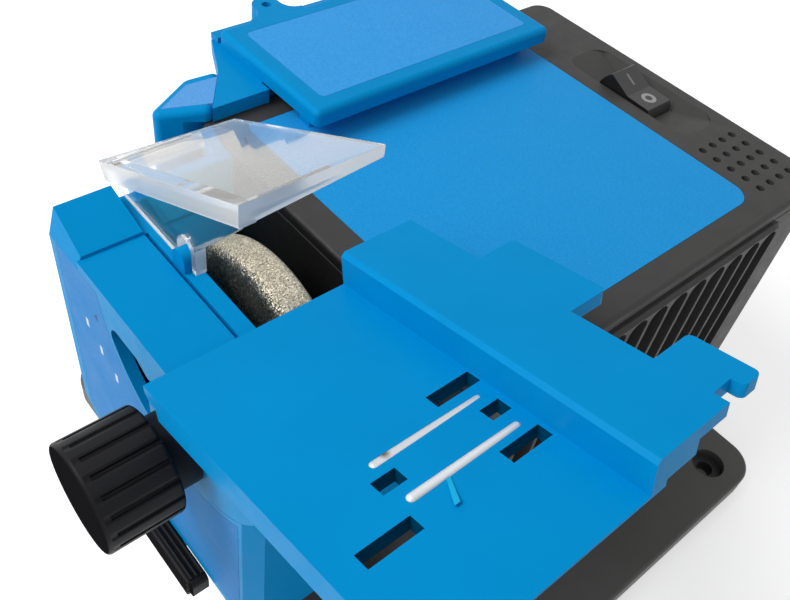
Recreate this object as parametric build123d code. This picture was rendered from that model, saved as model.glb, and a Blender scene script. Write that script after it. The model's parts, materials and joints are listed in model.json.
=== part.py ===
from build123d import *
import math
import os

os.makedirs("parts", exist_ok=True)

# Millimetres. The origin is in the middle of the base plate's underside,
# +X runs along the motor axis towards the switch end, +Y to the back and +Z up.

# Clearances
mould_gap = 0.15        # moulded pieces that slot into each other
seat_fit = 0.02         # fixed piece on a shaft or in a bore
running_fit = 0.05      # turning piece on a pin or in a bore
pole_gap = 0.3          # armature to pole shoes
tight_gap = 0.1         # ear in its window, labels in their recesses
cut_over = 1.0          # how far a cut runs past the face it opens

# Base plate, feet and base screws
base_w = 150.0
base_d = 150.0
base_t = 7.0
base_corner_r = 9.0
base_edge_r = 1.0
foot_r = 7.0
foot_h = 3.0
foot_sink = 1.5
foot_inset_x = 15.0
foot_inset_y = 24.0
bench_inset_x = 13.0
bench_inset_y = 10.0
bench_hole_r = 2.5
bench_recess_r = 5.0
bench_recess_depth = 3.0
base_rib_h = 4.0
base_rib_t = 2.0
screw_r = 1.5
screw_head_r = 3.0
screw_head_h = 2.0
base_screw_bite = 14.0

# Motor housing and its top cover
housing_len = 117.4
housing_front = 47.9    # front wall ahead of the motor axis
housing_back = 49.25    # back wall behind it
housing_h = 93.7
housing_wall = 3.0
housing_corner_r = 5.0
cover_h = 3.1
cover_plate_t = 2.2
cover_edge_r = 1.2
cover_seam_w = 0.4
cover_seam_depth = 0.6
cover_lip_h = 2.5
cover_lip_t = 1.6
post_r = 4.0
post_h = 40.0
post_inset = 3.0
panel_proud = 1.6
panel_corner_r = 5.0
panel_margin = 3.55
panel_bevel = 0.9
panel_top_gap = 0.3
louvre_count = 12
louvre_pitch = 7.07
louvre_w = 5.9
louvre_len = 52.0
louvre_drop = 4.5
louvre_end_gap = 24.1
vent_rows = 4
vent_columns = 5
vent_pitch = 4.22
vent_r = 1.05
vent_end_gap = 6.04
vent_side_gap = 7.52
gland_side_gap = 19.25
gland_rise = 15.0
gland_r = 6.0
gland_flange_r = 8.5
gland_flange_t = 2.0
gland_tail = 5.0
cord_hole_r = 3.4

# Top label
label_inset = 7.5
label_len = 86.6
label_w = 82.6
label_corner_r = 5.0
label_t = 0.4

# Rocker switch
switch_end_gap = 7.8
switch_w = 10.8
switch_len = 18.95
switch_mid_y = 2.675
switch_floor_drop = 2.2
scoop_front = 11.1
scoop_back = 10.65
scoop_corner_r = 5.0
scoop_far_w = 3.8
switch_pad_t = 3.0
switch_pad_margin = 3.0
switch_body_margin = 2.0
switch_body_h = 14.0
switch_collar_t = 0.4
switch_well = 4.5
rocker_swing = 28.0
rocker_vee = 12.0       # slope of each half of its top, degrees
rocker_pivot_drop = 3.3
rocker_stand = 0.8
rocker_belly = 2.0
rocker_pin_r = 0.8
rocker_pin_len = 0.45

# Spindle, wheel and motor
spindle_drop = 24.2
shaft_r = 3.0
wheel_r = 26.4
wheel_t = 8.6
wheel_edge_r = 2.2
wheel_recess_r = 14.0
wheel_recess_depth = 2.0
flange_r = 9.0
flange_t = 4.0
flange_stand = 6.0      # flange back face to the housing
nut_hex = 10.0
nut_t = 4.2
nut_collar_r = 6.0
nut_collar_t = 1.0
shaft_stub = 0.6
bearing_r = 9.5
bearing_w = 6.0
bearing_web = 1.0
race_t = 1.2
seal_drop = 0.5
end_plate_t = 3.0
end_plate_r = 15.0
hub_wall = 2.0
fan_r = 17.0
fan_w = 7.5
fan_hub_r = 7.0
fan_back_t = 1.2
fan_blades = 9
fan_blade_t = 1.2
fan_gap = 2.4
core_len = 36.0
coil_end = 5.0
yoke_r = 19.8
yoke_t = 2.8
armature_r = 12.0
shoe_t = 1.7
neck_w = 12.0
pole_half_angle = 52.0
armature_slots = 12
slot_w = 1.6
slot_depth = 4.5
winding_r_in = 4.0
winding_r_out = 10.6
commutator_r = 7.0
commutator_len = 10.0
commutator_space = 3.0
commutator_cut_w = 0.4
commutator_cut_depth = 0.8
brush_w = 5.0
brush_h = 4.0
brush_len = 8.0
brush_box_t = 1.0
rear_plate_t = 4.0
rear_plate_space = 4.0
cradle_slab_t = 4.0
cradle_half_w = 22.0
cradle_rib_t = 4.0
cradle_web_t = 4.0
shaft_hole_gap = 1.5
plate_screws = 3
plate_screw_circle = 13.25
plate_screw_r = 1.0
plate_screw_head_r = 1.7
plate_screw_head_h = 1.4
plate_screw_bite = 2.2

# Blue sharpening head: frame and side cover
head_half_w = 35.7
head_rise = 23.0        # head top above the spindle
head_depth = 38.5       # head bottom below the spindle
frame_len = 26.5
lip_t = 3.6
head_wall = 3.0
side_len = 15.0
side_wall = 2.5
side_corner_chamfer = 3.0
back_corner_chamfer = 7.0
seam_w = 0.8
seam_depth = 1.6
block_front_y = 23.3
block_rise = 3.8        # its top above the head's, at the back
block_step = 0.7        # and at its front
block_gap = 0.9
block_bevel_w = 1.9
block_bevel_drop = 2.5  # bevel's foot under the head's top
side_screw_r = 1.25
side_post_r = 3.5
side_screw_head_r = 2.6
side_screw_head_h = 1.7
side_screw_len = 9.0
side_post_inset = 8.0
tab_h = 12.0
tab_drop = 19.5
tab_t = 2.6
tab_reach = 4.0
scale_label_t = 0.3
scale_label_margin = 2.6
scale_label_rim = 1.2

# Tilting tool rest
rest_gap = 0.6          # wheel rim to the tilt axis
tilt_lead = 28.1        # tilt axis ahead of the wheel top, degrees
tilt_rest = 13.3        # slope of the table as it stands, degrees
tilt_travel = 10.0      # tilt each way from there, degrees
table_t = 3.0
table_len = 69.7
table_back_gap = 0.3
table_back_bevel = 1.2
table_overhang = 5.5
skirt_t = 2.5
skirt_h = 6.0
fence_out = 5.1         # fence face clear of the housing
fence_w = 10.4
fence_h = 7.0
fence_wall = 2.5
fence_lift = 1.0        # fence underside over the housing, above the table plane
fence_foot_w = 3.5
strip_w = 6.7
strip_t = 2.8
ledge_w = 9.2
ledge_u0 = 18.6
ledge_u1 = 40.1
wing_u0 = 56.5
wing_u1 = 66.9
wing_peg_w = 4.6
wing_peg_len = 2.4
wing_corner_r = 1.2
table_edge_r = 0.8
table_front_t = 0.5     # table's thickness at its front edge
table_front_bevel = 3.2
slot_cut_w = 3.0
# Table slots: gap to the fence, length, and distance from the table's back edge
slot_cuts = [(0.3, 9.3, 35.1), (1.3, 4.1, 43.0), (0.9, 8.5, 51.1), (22.9, 4.6, 43.0), (27.0, 9.9, 51.1)]
rod_r = 0.92
rod_len = 23.3
rod_gap = 2.4
rod_places = [39.0, 47.4]
# Depth of each rod's axis under the table's top, at its outer end and at the fence
rod_sinks = [(0.6, 0.85), (0.36, 0.69)]
ear_t = 3.8
ear_r = 27.6
ear_back = 11.8         # ear's back edge behind the tilt axis
ear_arm_back = 1.3      # arm to the table ends this far ahead of the axis
ear_top_dist = 10.9
bridge_back = 1.7       # bridge over the window: its front end behind the tilt axis
bridge_drop = 10.4      # and its underside below it
bridge_rise = 2.0       # underside steps up this much
bridge_step_back = 11.2 # from here
bridge_step_len = 3.5   # over this length
window_corner_r = 3.0
window_depth_gap = 0.3

# Clamp stud and knob
stud_r = 3.0
stud_drop = 18.3
stud_boss_r = 7.0
stud_hex = 9.0
stud_hex_h = 2.0
stud_reach = 16.1
knob_r = 11.0
knob_len = 15.1
knob_neck_r = 7.7
knob_neck_len = 5.1
knob_flutes = 18
knob_flute_r = 0.5
knob_flute_depth = 0.4
knob_band = 2.0         # plain band at its outer end
knob_edge_r = 0.8
insert_r = 5.0
insert_len = 10.0

# Clear visor and its pin
hinge_back = 4.3        # hinge axis behind the head's back face
hinge_rise = 1.6        # hinge axis above the head's top
visor_slope = 26.67
visor_len = 57.3        # hinge line to the front edge, along the slope
visor_t = 2.2
visor_lift = 1.9        # plate's underside off the hinge axis
visor_back_u0 = -1.4    # plate's back edge, at its left and right ends
visor_back_u1 = 3.6
visor_side_in = 0.3
visor_end_over = 3.9
visor_rim_depth = 4.4
visor_rim_t = 1.8
visor_front_h0 = 5.1    # plumb front rim, at its left and right ends
visor_front_h1 = 2.7
visor_rib_u = 4.4
visor_rib_w = 1.2
visor_rib_h = 0.5
visor_rib_inset = 0.6
visor_rib_len = 18.0
barrel_r = 2.2
visor_pin_r = 0.9
lug_r = 1.6
lug_w = 3.0
lug_inset = 5.5
lug_end_inset = 0.6
lug_gap = 0.3
lug_root = 6.0
cheek_inset = 1.4       # visor wall in from the head frame's left face
cheek_t = 2.35
cheek_floor_gap = 0.3
cheek_back_over = 0.5
leg_y = 7.4
leg_h = 6.2
stub_y = 11.4
stub_r = 2.2
stub_rise = 2.3         # middle of its round top above the head's top
stub_gap = 0.4
stub_over = 2.2
visor_pin_end = 0.5

# Head latch
latch_bar_out = 3.9
latch_bar_t = 3.9
latch_half_len = 19.0
latch_bar_h = 6.0
latch_ridges = 3
latch_ridge_r = 0.9
latch_end_r = 1.5
latch_drop = 0.5        # bar top under the head's bottom
tongue_half_w = 8.0
tongue_t = 3.0
tongue_drop = 1.0
tongue_reach = 1.4
latch_travel = 3.0
guide_pad_t = 1.5
guide_cheek_t = 1.5
guide_lip_w = 2.5
guide_lip_t = 1.5
guide_gap = 0.3

# Parked knife head behind the housing
parked_inset = 18.4
parked_len = 76.5
parked_lap = 21.45
parked_w = 40.2
parked_plate_t = 4.0
parked_rise = 4.3       # plate underside above the housing top
parked_edge_r = 1.5
parked_body_d = 19.0
parked_body_h = 38.0
parked_wall = 2.5
parked_lip_out = 3.1    # back lip beyond the body
parked_lip_t = 1.4
cove_r = 8.4
runner_inset = 6.0
runner_w = 4.0
shelf_rise = 3.9        # nose and its shelf above the housing top
shelf_lift = 0.3        # their overhang clear of the housing top
shelf_lap = 3.1
shelf_len = 15.4
shelf_back_len = 6.3
shelf_back_y = 8.9
nose_len = 28.4
nose_tip_y = 4.4
nose_back_len = 15.3
nose_back_y = 11.1
nose_fall = 8.0         # degrees
nose_step = 0.2
nose_corner_r = 2.0
nose_edge_r = 1.6
parked_label_margin = 4.5
parked_lug_inset = 17.0
parked_lug_r = 3.7
parked_lug_reach = 4.5
parked_lug_hole_r = 1.2
parked_lug_foot_r = 4.0
rail_inset = 38.0
rail_stem_w = 6.0
rail_stem_d = 2.8
rail_head_w = 12.0
rail_head_d = 2.0
rail_h = 26.0
rail_top_drop = 4.0
knife_slot_w = 3.0
knife_slot_h = 22.0
knife_slot_insets = [26.0, 60.0]

# Levels and places worked out from the sizes above
base_bottom = 0.0
base_top = base_bottom + base_t
housing_x1 = base_w / 2
housing_x0 = housing_x1 - housing_len
housing_y0 = -housing_front
housing_y1 = housing_back
housing_top = base_top + housing_h
split_z = housing_top - cover_h
cover_under = housing_top - cover_plate_t
spindle_z = housing_top - spindle_drop
head_top = spindle_z + head_rise
head_bottom = spindle_z - head_depth
tab_z = spindle_z - tab_drop
wall_in_x = housing_x0 + housing_wall
louvre_last_x = housing_x1 - louvre_end_gap
vent_first_x = housing_x1 - vent_end_gap - (vent_rows - 1) * vent_pitch
vent_first_y = housing_y0 + vent_side_gap + (vent_columns - 1) * vent_pitch
gland_y = housing_y1 - gland_side_gap
gland_z = base_top + gland_rise
label_x0 = housing_x0 + label_inset
label_x1 = label_x0 + label_len
switch_x1 = housing_x1 - switch_end_gap
switch_x0 = switch_x1 - switch_w
switch_y0 = switch_mid_y - switch_len / 2
switch_y1 = switch_mid_y + switch_len / 2

flange_x1 = housing_x0 - flange_stand
wheel_x1 = flange_x1 - flange_t
wheel_x0 = wheel_x1 - wheel_t
nut_x1 = wheel_x0 + wheel_recess_depth
nut_x0 = nut_x1 - nut_t
shaft_x0 = nut_x0 - shaft_stub
front_plate_x1 = wall_in_x + end_plate_t
front_bearing_x0 = front_plate_x1 + bearing_web
front_bearing_x1 = front_bearing_x0 + bearing_w
fan_x0 = front_bearing_x1 + fan_gap
fan_x1 = fan_x0 + fan_w
coil_x0 = fan_x1 + 2 * tight_gap
core_x0 = coil_x0 + coil_end
core_x1 = core_x0 + core_len
coil_x1 = core_x1 + coil_end
commutator_x0 = coil_x1 + commutator_space
commutator_x1 = commutator_x0 + commutator_len
brush_x = (commutator_x0 + commutator_x1) / 2
rear_plate_x0 = commutator_x1 + rear_plate_space
rear_plate_x1 = rear_plate_x0 + rear_plate_t
rear_bearing_x0 = rear_plate_x0 + rear_plate_t / 2
rear_bearing_x1 = rear_bearing_x0 + bearing_w
shaft_x1 = rear_bearing_x1 + shaft_stub
hub_r = bearing_r + hub_wall
yoke_in_r = yoke_r - yoke_t
shoe_in_r = armature_r + pole_gap
shoe_out_r = shoe_in_r + shoe_t

frame_x1 = housing_x0
frame_x0 = frame_x1 - frame_len
side_x0 = frame_x0 - side_len
table_x0 = side_x0 - table_overhang
fence_x0 = housing_x0 - fence_out
fence_x1 = fence_x0 + fence_w
strip_x1 = fence_x1 + strip_w
ledge_x1 = strip_x1 + ledge_w
rod_x1 = fence_x0 - rod_gap
rod_x0 = rod_x1 - rod_len
ear_x0 = side_x0
ear_x1 = ear_x0 + ear_t
tilt_dist = wheel_r + rest_gap
tilt_y = -tilt_dist * math.sin(math.radians(tilt_lead))
tilt_z = spindle_z + tilt_dist * math.cos(math.radians(tilt_lead))
window_r = ear_r + tight_gap
stud_y = tilt_y
stud_z = tilt_z - stud_drop
knob_x1 = ear_x0 - tight_gap
knob_neck_x0 = knob_x1 - knob_neck_len
knob_x0 = knob_neck_x0 - knob_len
stud_x0 = ear_x0 - stud_reach
hinge_y = head_half_w + hinge_back
hinge_z = head_top + hinge_rise
lug_spans = [(frame_x0 + lug_inset, frame_x0 + lug_inset + lug_w),
             (frame_x1 - lug_end_inset - lug_w, frame_x1 - lug_end_inset)]
visor_x0 = frame_x0 + visor_side_in
visor_x1 = frame_x1 + visor_end_over
cheek_x0 = frame_x0 + cheek_inset
cheek_x1 = cheek_x0 + cheek_t
stub_z = head_top + stub_rise
latch_bar_x0 = side_x0 - latch_bar_out
parked_bottom = housing_top + parked_rise
parked_top = parked_bottom + parked_plate_t
parked_x0 = housing_x0 + parked_inset
parked_x1 = parked_x0 + parked_len
parked_y0 = housing_y1 - parked_lap
parked_y1 = parked_y0 + parked_w
parked_body_y0 = housing_y1 + mould_gap
parked_body_y1 = parked_body_y0 + parked_body_d
parked_lug_x = parked_x0 + parked_lug_inset
parked_lip_y = parked_body_y1 + parked_lip_out
shelf_top = housing_top + shelf_rise
shelf_bottom = housing_top + shelf_lift
shelf_front = (parked_x0 - shelf_len, parked_body_y0 - shelf_lap)
shelf_back = (parked_x0 - shelf_back_len, parked_body_y0 + shelf_back_y)
nose_tip = (parked_x0 - nose_len, parked_body_y0 + nose_tip_y)
nose_back = (parked_x0 - nose_back_len, parked_body_y0 + nose_back_y)
runner_y0 = parked_y0 + runner_inset
runner_y1 = runner_y0 + runner_w
rail_x = parked_x0 + rail_inset
rail_z1 = split_z - rail_top_drop
latch_top = head_bottom - latch_drop
tongue_top = latch_top - tongue_drop
switch_mid_x = (switch_x0 + switch_x1) / 2
switch_floor = housing_top - switch_floor_drop
pad_bottom = cover_under - switch_pad_t
rocker_z = housing_top - rocker_pivot_drop


def corner_pair(size, inset):
    """Two places mirrored about the middle, each drawn in from its edge."""
    return -size / 2 + inset, size / 2 - inset


post_places = [(x, y) for x in (wall_in_x + post_inset, housing_x1 - housing_wall - post_inset)
               for y in (housing_y0 + housing_wall + post_inset, housing_y1 - housing_wall - post_inset)]
foot_places = [(x, y) for x in corner_pair(base_w, foot_inset_x) for y in corner_pair(base_d, foot_inset_y)]
bench_holes = [(x, y) for x in corner_pair(base_w, bench_inset_x) for y in corner_pair(base_d, bench_inset_y)]
side_posts = [(y, z) for y, z in ((-head_half_w + side_post_inset, head_bottom + side_post_inset),
                                  (head_half_w - side_post_inset - back_corner_chamfer / 2,
                                   head_bottom + side_post_inset + back_corner_chamfer / 2),
                                  (head_half_w - side_post_inset, head_top - side_post_inset))]


# Simple solids
def span_box(x0, x1, y0, y1, z0, z1):
    """Box between two values on each axis."""
    return Pos((x0 + x1) / 2, (y0 + y1) / 2, (z0 + z1) / 2) * Box(x1 - x0, y1 - y0, z1 - z0)


def rounded_block(x0, x1, y0, y1, z0, z1, r):
    """Upright block with rounded vertical corners."""
    outline = Pos((x0 + x1) / 2, (y0 + y1) / 2, z0) * RectangleRounded(x1 - x0, y1 - y0, r)
    return extrude(outline, z1 - z0)


def rod_x(r, x0, x1, y, z):
    """Round rod along X."""
    return Pos((x0 + x1) / 2, y, z) * Rot(0, 90, 0) * Cylinder(r, x1 - x0)


def rod_y(r, y0, y1, x, z):
    """Round rod along Y."""
    return Pos(x, (y0 + y1) / 2, z) * Rot(90, 0, 0) * Cylinder(r, y1 - y0)


def rod_z(r, z0, z1, x, y):
    """Round rod along Z."""
    return Pos(x, y, (z0 + z1) / 2) * Cylinder(r, z1 - z0)


def ring_x(r_out, r_in, x0, x1, y, z):
    """Round tube along X."""
    return rod_x(r_out, x0, x1, y, z) - rod_x(r_in, x0, x1, y, z)


def profile_x(points, x0, x1):
    """Outline of (y, z) points drawn out along X."""
    plane = Plane(origin=(x0, 0, 0), x_dir=(0, 1, 0), z_dir=(1, 0, 0))
    return extrude(plane * Polygon(*points, align=None), x1 - x0, dir=(1, 0, 0))


def profile_y(points, y0, y1):
    """Outline of (x, z) points drawn out along Y."""
    plane = Plane(origin=(0, y0, 0), x_dir=(1, 0, 0), z_dir=(0, -1, 0))
    return extrude(plane * Polygon(*points, align=None), y1 - y0, dir=(0, 1, 0))


def profile_z(points, z0, z1):
    """Outline of (x, y) points drawn out along Z."""
    return extrude(Pos(0, 0, z0) * Polygon(*points, align=None), z1 - z0, dir=(0, 0, 1))


def arch_x(r, x0, x1, y, z0, z1):
    """Upright block along X with a half-round top about (y, z1)."""
    return span_box(x0, x1, y - r, y + r, z0, z1) + rod_x(r, x0, x1, y, z1)


def hex_x(across, x0, x1, y, z):
    """Hexagonal bar along X, sized across its flats."""
    plane = Plane(origin=(x0, y, z), x_dir=(0, 1, 0), z_dir=(1, 0, 0))
    hexagon = RegularPolygon(across / 2, 6, major_radius=False)
    return extrude(plane * hexagon, x1 - x0, dir=(1, 0, 0))


def turned(shape, degrees, y, z):
    """Shape turned about a line along X through (y, z)."""
    return Pos(0, y, z) * Rot(degrees, 0, 0) * Pos(0, -y, -z) * shape


def joined(shapes):
    """Separate solids kept together as one group."""
    return Compound(list(shapes))


# Base
def make_base_plate():
    plate = rounded_block(-base_w / 2, base_w / 2, -base_d / 2, base_d / 2, base_bottom, base_top,
                          base_corner_r)
    plate = fillet(plate.edges().group_by(Axis.Z)[-1], base_edge_r)
    inner_y0 = housing_y0 + housing_wall + mould_gap
    inner_y1 = housing_y1 - housing_wall - mould_gap
    rib_x0 = wall_in_x + 2 * (post_inset + post_r)
    rib_x1 = housing_x1 - housing_wall - 2 * (post_inset + post_r)
    rib_top = base_top + base_rib_h
    plate += span_box(rib_x0, rib_x1, inner_y0, inner_y0 + base_rib_t, base_top, rib_top)
    plate += span_box(rib_x0, rib_x1, inner_y1 - base_rib_t, inner_y1, base_top, rib_top)
    for x, y in bench_holes:
        plate -= rod_z(bench_hole_r, base_bottom, base_top, x, y)
        plate -= rod_z(bench_recess_r, base_top - bench_recess_depth, base_top, x, y)
    for x, y in foot_places:
        plate -= rod_z(foot_r + seat_fit, base_bottom, base_bottom + foot_sink, x, y)
    for x, y in post_places:
        plate -= rod_z(screw_r + running_fit, base_bottom, base_top, x, y)
        plate -= rod_z(screw_head_r + running_fit, base_bottom, base_bottom + screw_head_h, x, y)
    return plate


def make_rubber_feet():
    feet = []
    for x, y in foot_places:
        foot = rod_z(foot_r, base_bottom - foot_h, base_bottom + foot_sink, x, y)
        feet.append(chamfer(foot.edges().group_by(Axis.Z)[0], foot_sink / 2))
    return joined(feet)


def make_base_screws():
    screws = []
    for x, y in post_places:
        head = rod_z(screw_head_r, base_bottom, base_bottom + screw_head_h, x, y)
        screws.append(head + rod_z(screw_r, base_bottom, base_top + base_screw_bite, x, y))
    return joined(screws)


# Housing
def louvre_cut(x):
    """Upright slot with a rounded top and bottom through the front wall."""
    top = housing_top - louvre_drop
    r = louvre_w / 2
    y0 = housing_y0 - panel_proud
    y1 = housing_y0 + housing_wall
    slot = span_box(x - r, x + r, y0, y1, top - louvre_len + r, top - r)
    slot += rod_y(r, y0, y1, x, top - r)
    return slot + rod_y(r, y0, y1, x, top - louvre_len + r)


def make_motor_housing():
    shell = rounded_block(housing_x0, housing_x1, housing_y0, housing_y1, base_top, split_z, housing_corner_r)
    first_x = louvre_last_x - (louvre_count - 1) * louvre_pitch
    panel_x0 = first_x - louvre_w / 2 - panel_margin
    panel_x1 = louvre_last_x + louvre_w / 2 + panel_margin
    panel_z0 = housing_top - louvre_drop - louvre_len - panel_margin
    panel_z1 = split_z - panel_top_gap
    panel_plane = Plane(origin=((panel_x0 + panel_x1) / 2, housing_y0, (panel_z0 + panel_z1) / 2),
                        x_dir=(1, 0, 0), z_dir=(0, -1, 0))
    outline = RectangleRounded(panel_x1 - panel_x0, panel_z1 - panel_z0, panel_corner_r)
    panel = extrude(panel_plane * outline, panel_proud, dir=(0, -1, 0))
    shell += chamfer(panel.edges().group_by(Axis.Y)[0], panel_bevel)
    shell -= rounded_block(wall_in_x, housing_x1 - housing_wall, housing_y0 + housing_wall,
                           housing_y1 - housing_wall, base_top, split_z, housing_corner_r - housing_wall)
    for x, y in post_places:
        shell += rod_z(post_r, base_top, base_top + post_h, x, y)
    for x, y in post_places:
        shell -= rod_z(screw_r + seat_fit, base_top, base_top + base_screw_bite + mould_gap, x, y)
    for n in range(louvre_count):
        shell -= louvre_cut(louvre_last_x - n * louvre_pitch)
    shell -= rod_x(shaft_r + shaft_hole_gap, housing_x0, wall_in_x, 0, spindle_z)
    for y, z in plate_screw_places():
        shell -= rod_x(plate_screw_r + seat_fit, wall_in_x - plate_screw_bite, wall_in_x, y, z)
    tongue_room = mould_gap + guide_gap
    shell -= span_box(housing_x0, wall_in_x, -tongue_half_w - tongue_room, tongue_half_w + tongue_room,
                      tongue_top - tongue_t - latch_travel - tongue_room, tongue_top + tongue_room)
    for side in (-1, 1):
        y = side * (head_half_w - head_wall / 2)
        shell -= span_box(housing_x0, wall_in_x, y - tab_t / 2 - mould_gap, y + tab_t / 2 + mould_gap,
                          tab_z - mould_gap, tab_z + tab_h + mould_gap)
    shell -= rod_x(gland_r + seat_fit, housing_x1 - housing_wall, housing_x1, gland_y, gland_z)
    stem_y1 = housing_y1 + rail_stem_d
    shell += span_box(rail_x - rail_stem_w / 2, rail_x + rail_stem_w / 2, housing_y1, stem_y1,
                      rail_z1 - rail_h, rail_z1)
    shell += span_box(rail_x - rail_head_w / 2, rail_x + rail_head_w / 2, stem_y1, stem_y1 + rail_head_d,
                      rail_z1 - rail_h, rail_z1)
    return shell


def housing_block(inset, z0, z1):
    """Upright block with the housing's outline, drawn in from its outside."""
    corner = max(housing_corner_r - inset, housing_corner_r - housing_wall)
    return rounded_block(housing_x0 + inset, housing_x1 - inset, housing_y0 + inset, housing_y1 - inset,
                         z0, z1, corner)


def make_top_cover():
    seam_top = split_z + cover_seam_w
    lid = housing_block(0, seam_top, housing_top)
    lid = fillet(lid.edges().group_by(Axis.Z)[-1], cover_edge_r)
    lid += housing_block(cover_seam_depth, split_z, seam_top)
    lid -= housing_block(housing_wall, split_z, cover_under)
    lip_out = housing_wall + mould_gap
    lip = housing_block(lip_out, split_z - cover_lip_h, cover_under)
    lid += lip - housing_block(lip_out + cover_lip_t, split_z - cover_lip_h, cover_under)
    scoop_y0 = switch_y0 - scoop_front
    scoop_y1 = switch_y1 + scoop_back
    lid += span_box(switch_x0 - switch_pad_margin, switch_x1 + switch_pad_margin,
                    scoop_y0 - mould_gap, scoop_y1 + mould_gap, pad_bottom, cover_under)
    over_z = housing_top + cut_over
    far_x = switch_x1 + scoop_far_w
    scoop = profile_x([(scoop_y0, housing_top), (switch_y0, switch_floor), (switch_y1, switch_floor),
                       (scoop_y1, housing_top), (scoop_y1, over_z), (scoop_y0, over_z)], switch_x0, far_x)
    scoop &= rounded_block(switch_x0, far_x, scoop_y0, scoop_y1, pad_bottom, over_z, scoop_corner_r)
    scoop &= profile_y([(switch_x0, switch_floor), (switch_x1, switch_floor), (far_x, housing_top),
                        (far_x, over_z), (switch_x0, over_z)], scoop_y0, scoop_y1)
    lid -= scoop
    lid -= span_box(switch_x0, switch_x1, switch_y0, switch_y1, pad_bottom, housing_top)
    for row in range(vent_rows):
        for column in range(vent_columns):
            lid -= rod_z(vent_r, cover_under, housing_top, vent_first_x + row * vent_pitch,
                         vent_first_y - column * vent_pitch)
    lid -= rounded_block(label_x0, label_x1, -label_w / 2, label_w / 2, housing_top - label_t, housing_top,
                         label_corner_r)
    return lid


def make_top_label():
    gap = tight_gap
    return rounded_block(label_x0 + gap, label_x1 - gap, -label_w / 2 + gap, label_w / 2 - gap,
                         housing_top - label_t, housing_top, label_corner_r - gap)


# Switch and cord bush
def make_switch_body():
    m = switch_body_margin
    body = span_box(switch_x0 - m, switch_x1 + m, switch_y0 - m, switch_y1 + m,
                    pad_bottom - switch_body_h, pad_bottom)
    g = tight_gap
    body += span_box(switch_x0 + g, switch_x1 - g, switch_y0 + g, switch_y1 - g, pad_bottom, switch_floor)
    c = g + switch_collar_t
    body -= span_box(switch_x0 + c, switch_x1 - c, switch_y0 + c, switch_y1 - c, rocker_z - switch_well,
                     switch_floor)
    body -= rod_x(rocker_pin_r + running_fit, switch_x0, switch_x1, switch_mid_y, rocker_z)
    return body


def make_rocker():
    half_w = (switch_x1 - switch_x0) / 2 - tight_gap - switch_collar_t - mould_gap
    end_r = (switch_y1 - switch_y0) / 2 - tight_gap - switch_collar_t - mould_gap
    top_mid = housing_top + rocker_stand
    top_end = top_mid + end_r * math.tan(math.radians(rocker_vee))
    x0 = switch_mid_x - half_w
    x1 = switch_mid_x + half_w
    y = switch_mid_y
    body = profile_x([(y - end_r, rocker_z - rocker_belly), (y + end_r, rocker_z - rocker_belly),
                      (y + end_r, top_end), (y, top_mid), (y - end_r, top_end)], x0, x1)
    body &= rod_x(end_r, x0, x1, y, rocker_z)
    body += rod_x(rocker_pin_r, x0 - rocker_pin_len, x1 + rocker_pin_len, y, rocker_z)
    return turned(body, rocker_swing / 2, y, rocker_z)


def make_cord_gland():
    bush = rod_x(gland_r, housing_x1 - housing_wall - gland_tail, housing_x1, gland_y, gland_z)
    flange = rod_x(gland_flange_r, housing_x1, housing_x1 + gland_flange_t, gland_y, gland_z)
    flange = fillet(flange.edges().group_by(Axis.X)[-1], gland_flange_t / 2)
    bush += flange
    return bush - rod_x(cord_hole_r, housing_x1 - housing_wall - gland_tail, housing_x1 + gland_flange_t,
                        gland_y, gland_z)


# Motor, fixed pieces
def plate_screw_places():
    """Three screws round the front bearing plate."""
    angles = [math.pi / 2 + 2 * math.pi * n / plate_screws for n in range(plate_screws)]
    return [(plate_screw_circle * math.cos(a), spindle_z + plate_screw_circle * math.sin(a)) for a in angles]


def make_front_bearing_plate():
    plate = rod_x(end_plate_r, wall_in_x, front_plate_x1, 0, spindle_z)
    plate += rod_x(hub_r, front_plate_x1, front_bearing_x1, 0, spindle_z)
    plate -= rod_x(bearing_r + seat_fit, front_bearing_x0, front_bearing_x1, 0, spindle_z)
    plate -= rod_x(shaft_r + shaft_hole_gap, wall_in_x, front_bearing_x1, 0, spindle_z)
    for y, z in plate_screw_places():
        plate -= rod_x(plate_screw_r + running_fit, wall_in_x, front_plate_x1, y, z)
    return plate


def make_plate_screws():
    screws = []
    for y, z in plate_screw_places():
        head = rod_x(plate_screw_head_r, front_plate_x1, front_plate_x1 + plate_screw_head_h, y, z)
        screws.append(head + rod_x(plate_screw_r, wall_in_x - plate_screw_bite, front_plate_x1, y, z))
    return joined(screws)


def make_bearing(x0):
    """Ball bearing drawn as its two races and the sealed ring between them."""
    bearing = ring_x(bearing_r, shaft_r + seat_fit, x0, x0 + bearing_w, 0, spindle_z)
    for face in (x0, x0 + bearing_w - seal_drop):
        bearing -= ring_x(bearing_r - race_t, shaft_r + race_t, face, face + seal_drop, 0, spindle_z)
    return bearing


def sector_x(r_out, r_in, half_angle, x0, x1, up):
    """Piece of a ring about the spindle, above it or below it."""
    reach = 2 * r_out
    tip = (0, spindle_z)
    rise = up * reach
    spread = reach * math.tan(math.radians(half_angle))
    wedge = profile_x([tip, (spread, spindle_z + rise), (-spread, spindle_z + rise)], x0, x1)
    return ring_x(r_out, r_in, x0, x1, 0, spindle_z) & wedge


def neck_box(up, gap, x_gap):
    """Block through which a pole joins its shoe to the yoke."""
    z0 = spindle_z + up * (shoe_out_r - shoe_t / 2)
    z1 = spindle_z + up * (yoke_in_r + yoke_t / 2)
    return span_box(core_x0 - x_gap, core_x1 + x_gap, -neck_w / 2 - gap, neck_w / 2 + gap,
                    min(z0, z1), max(z0, z1))


def make_field_core():
    core = ring_x(yoke_r, yoke_in_r, core_x0, core_x1, 0, spindle_z)
    for up in (-1, 1):
        core += sector_x(shoe_out_r, shoe_in_r, pole_half_angle, core_x0, core_x1, up)
        core += neck_box(up, 0, 0)
    return core


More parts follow.
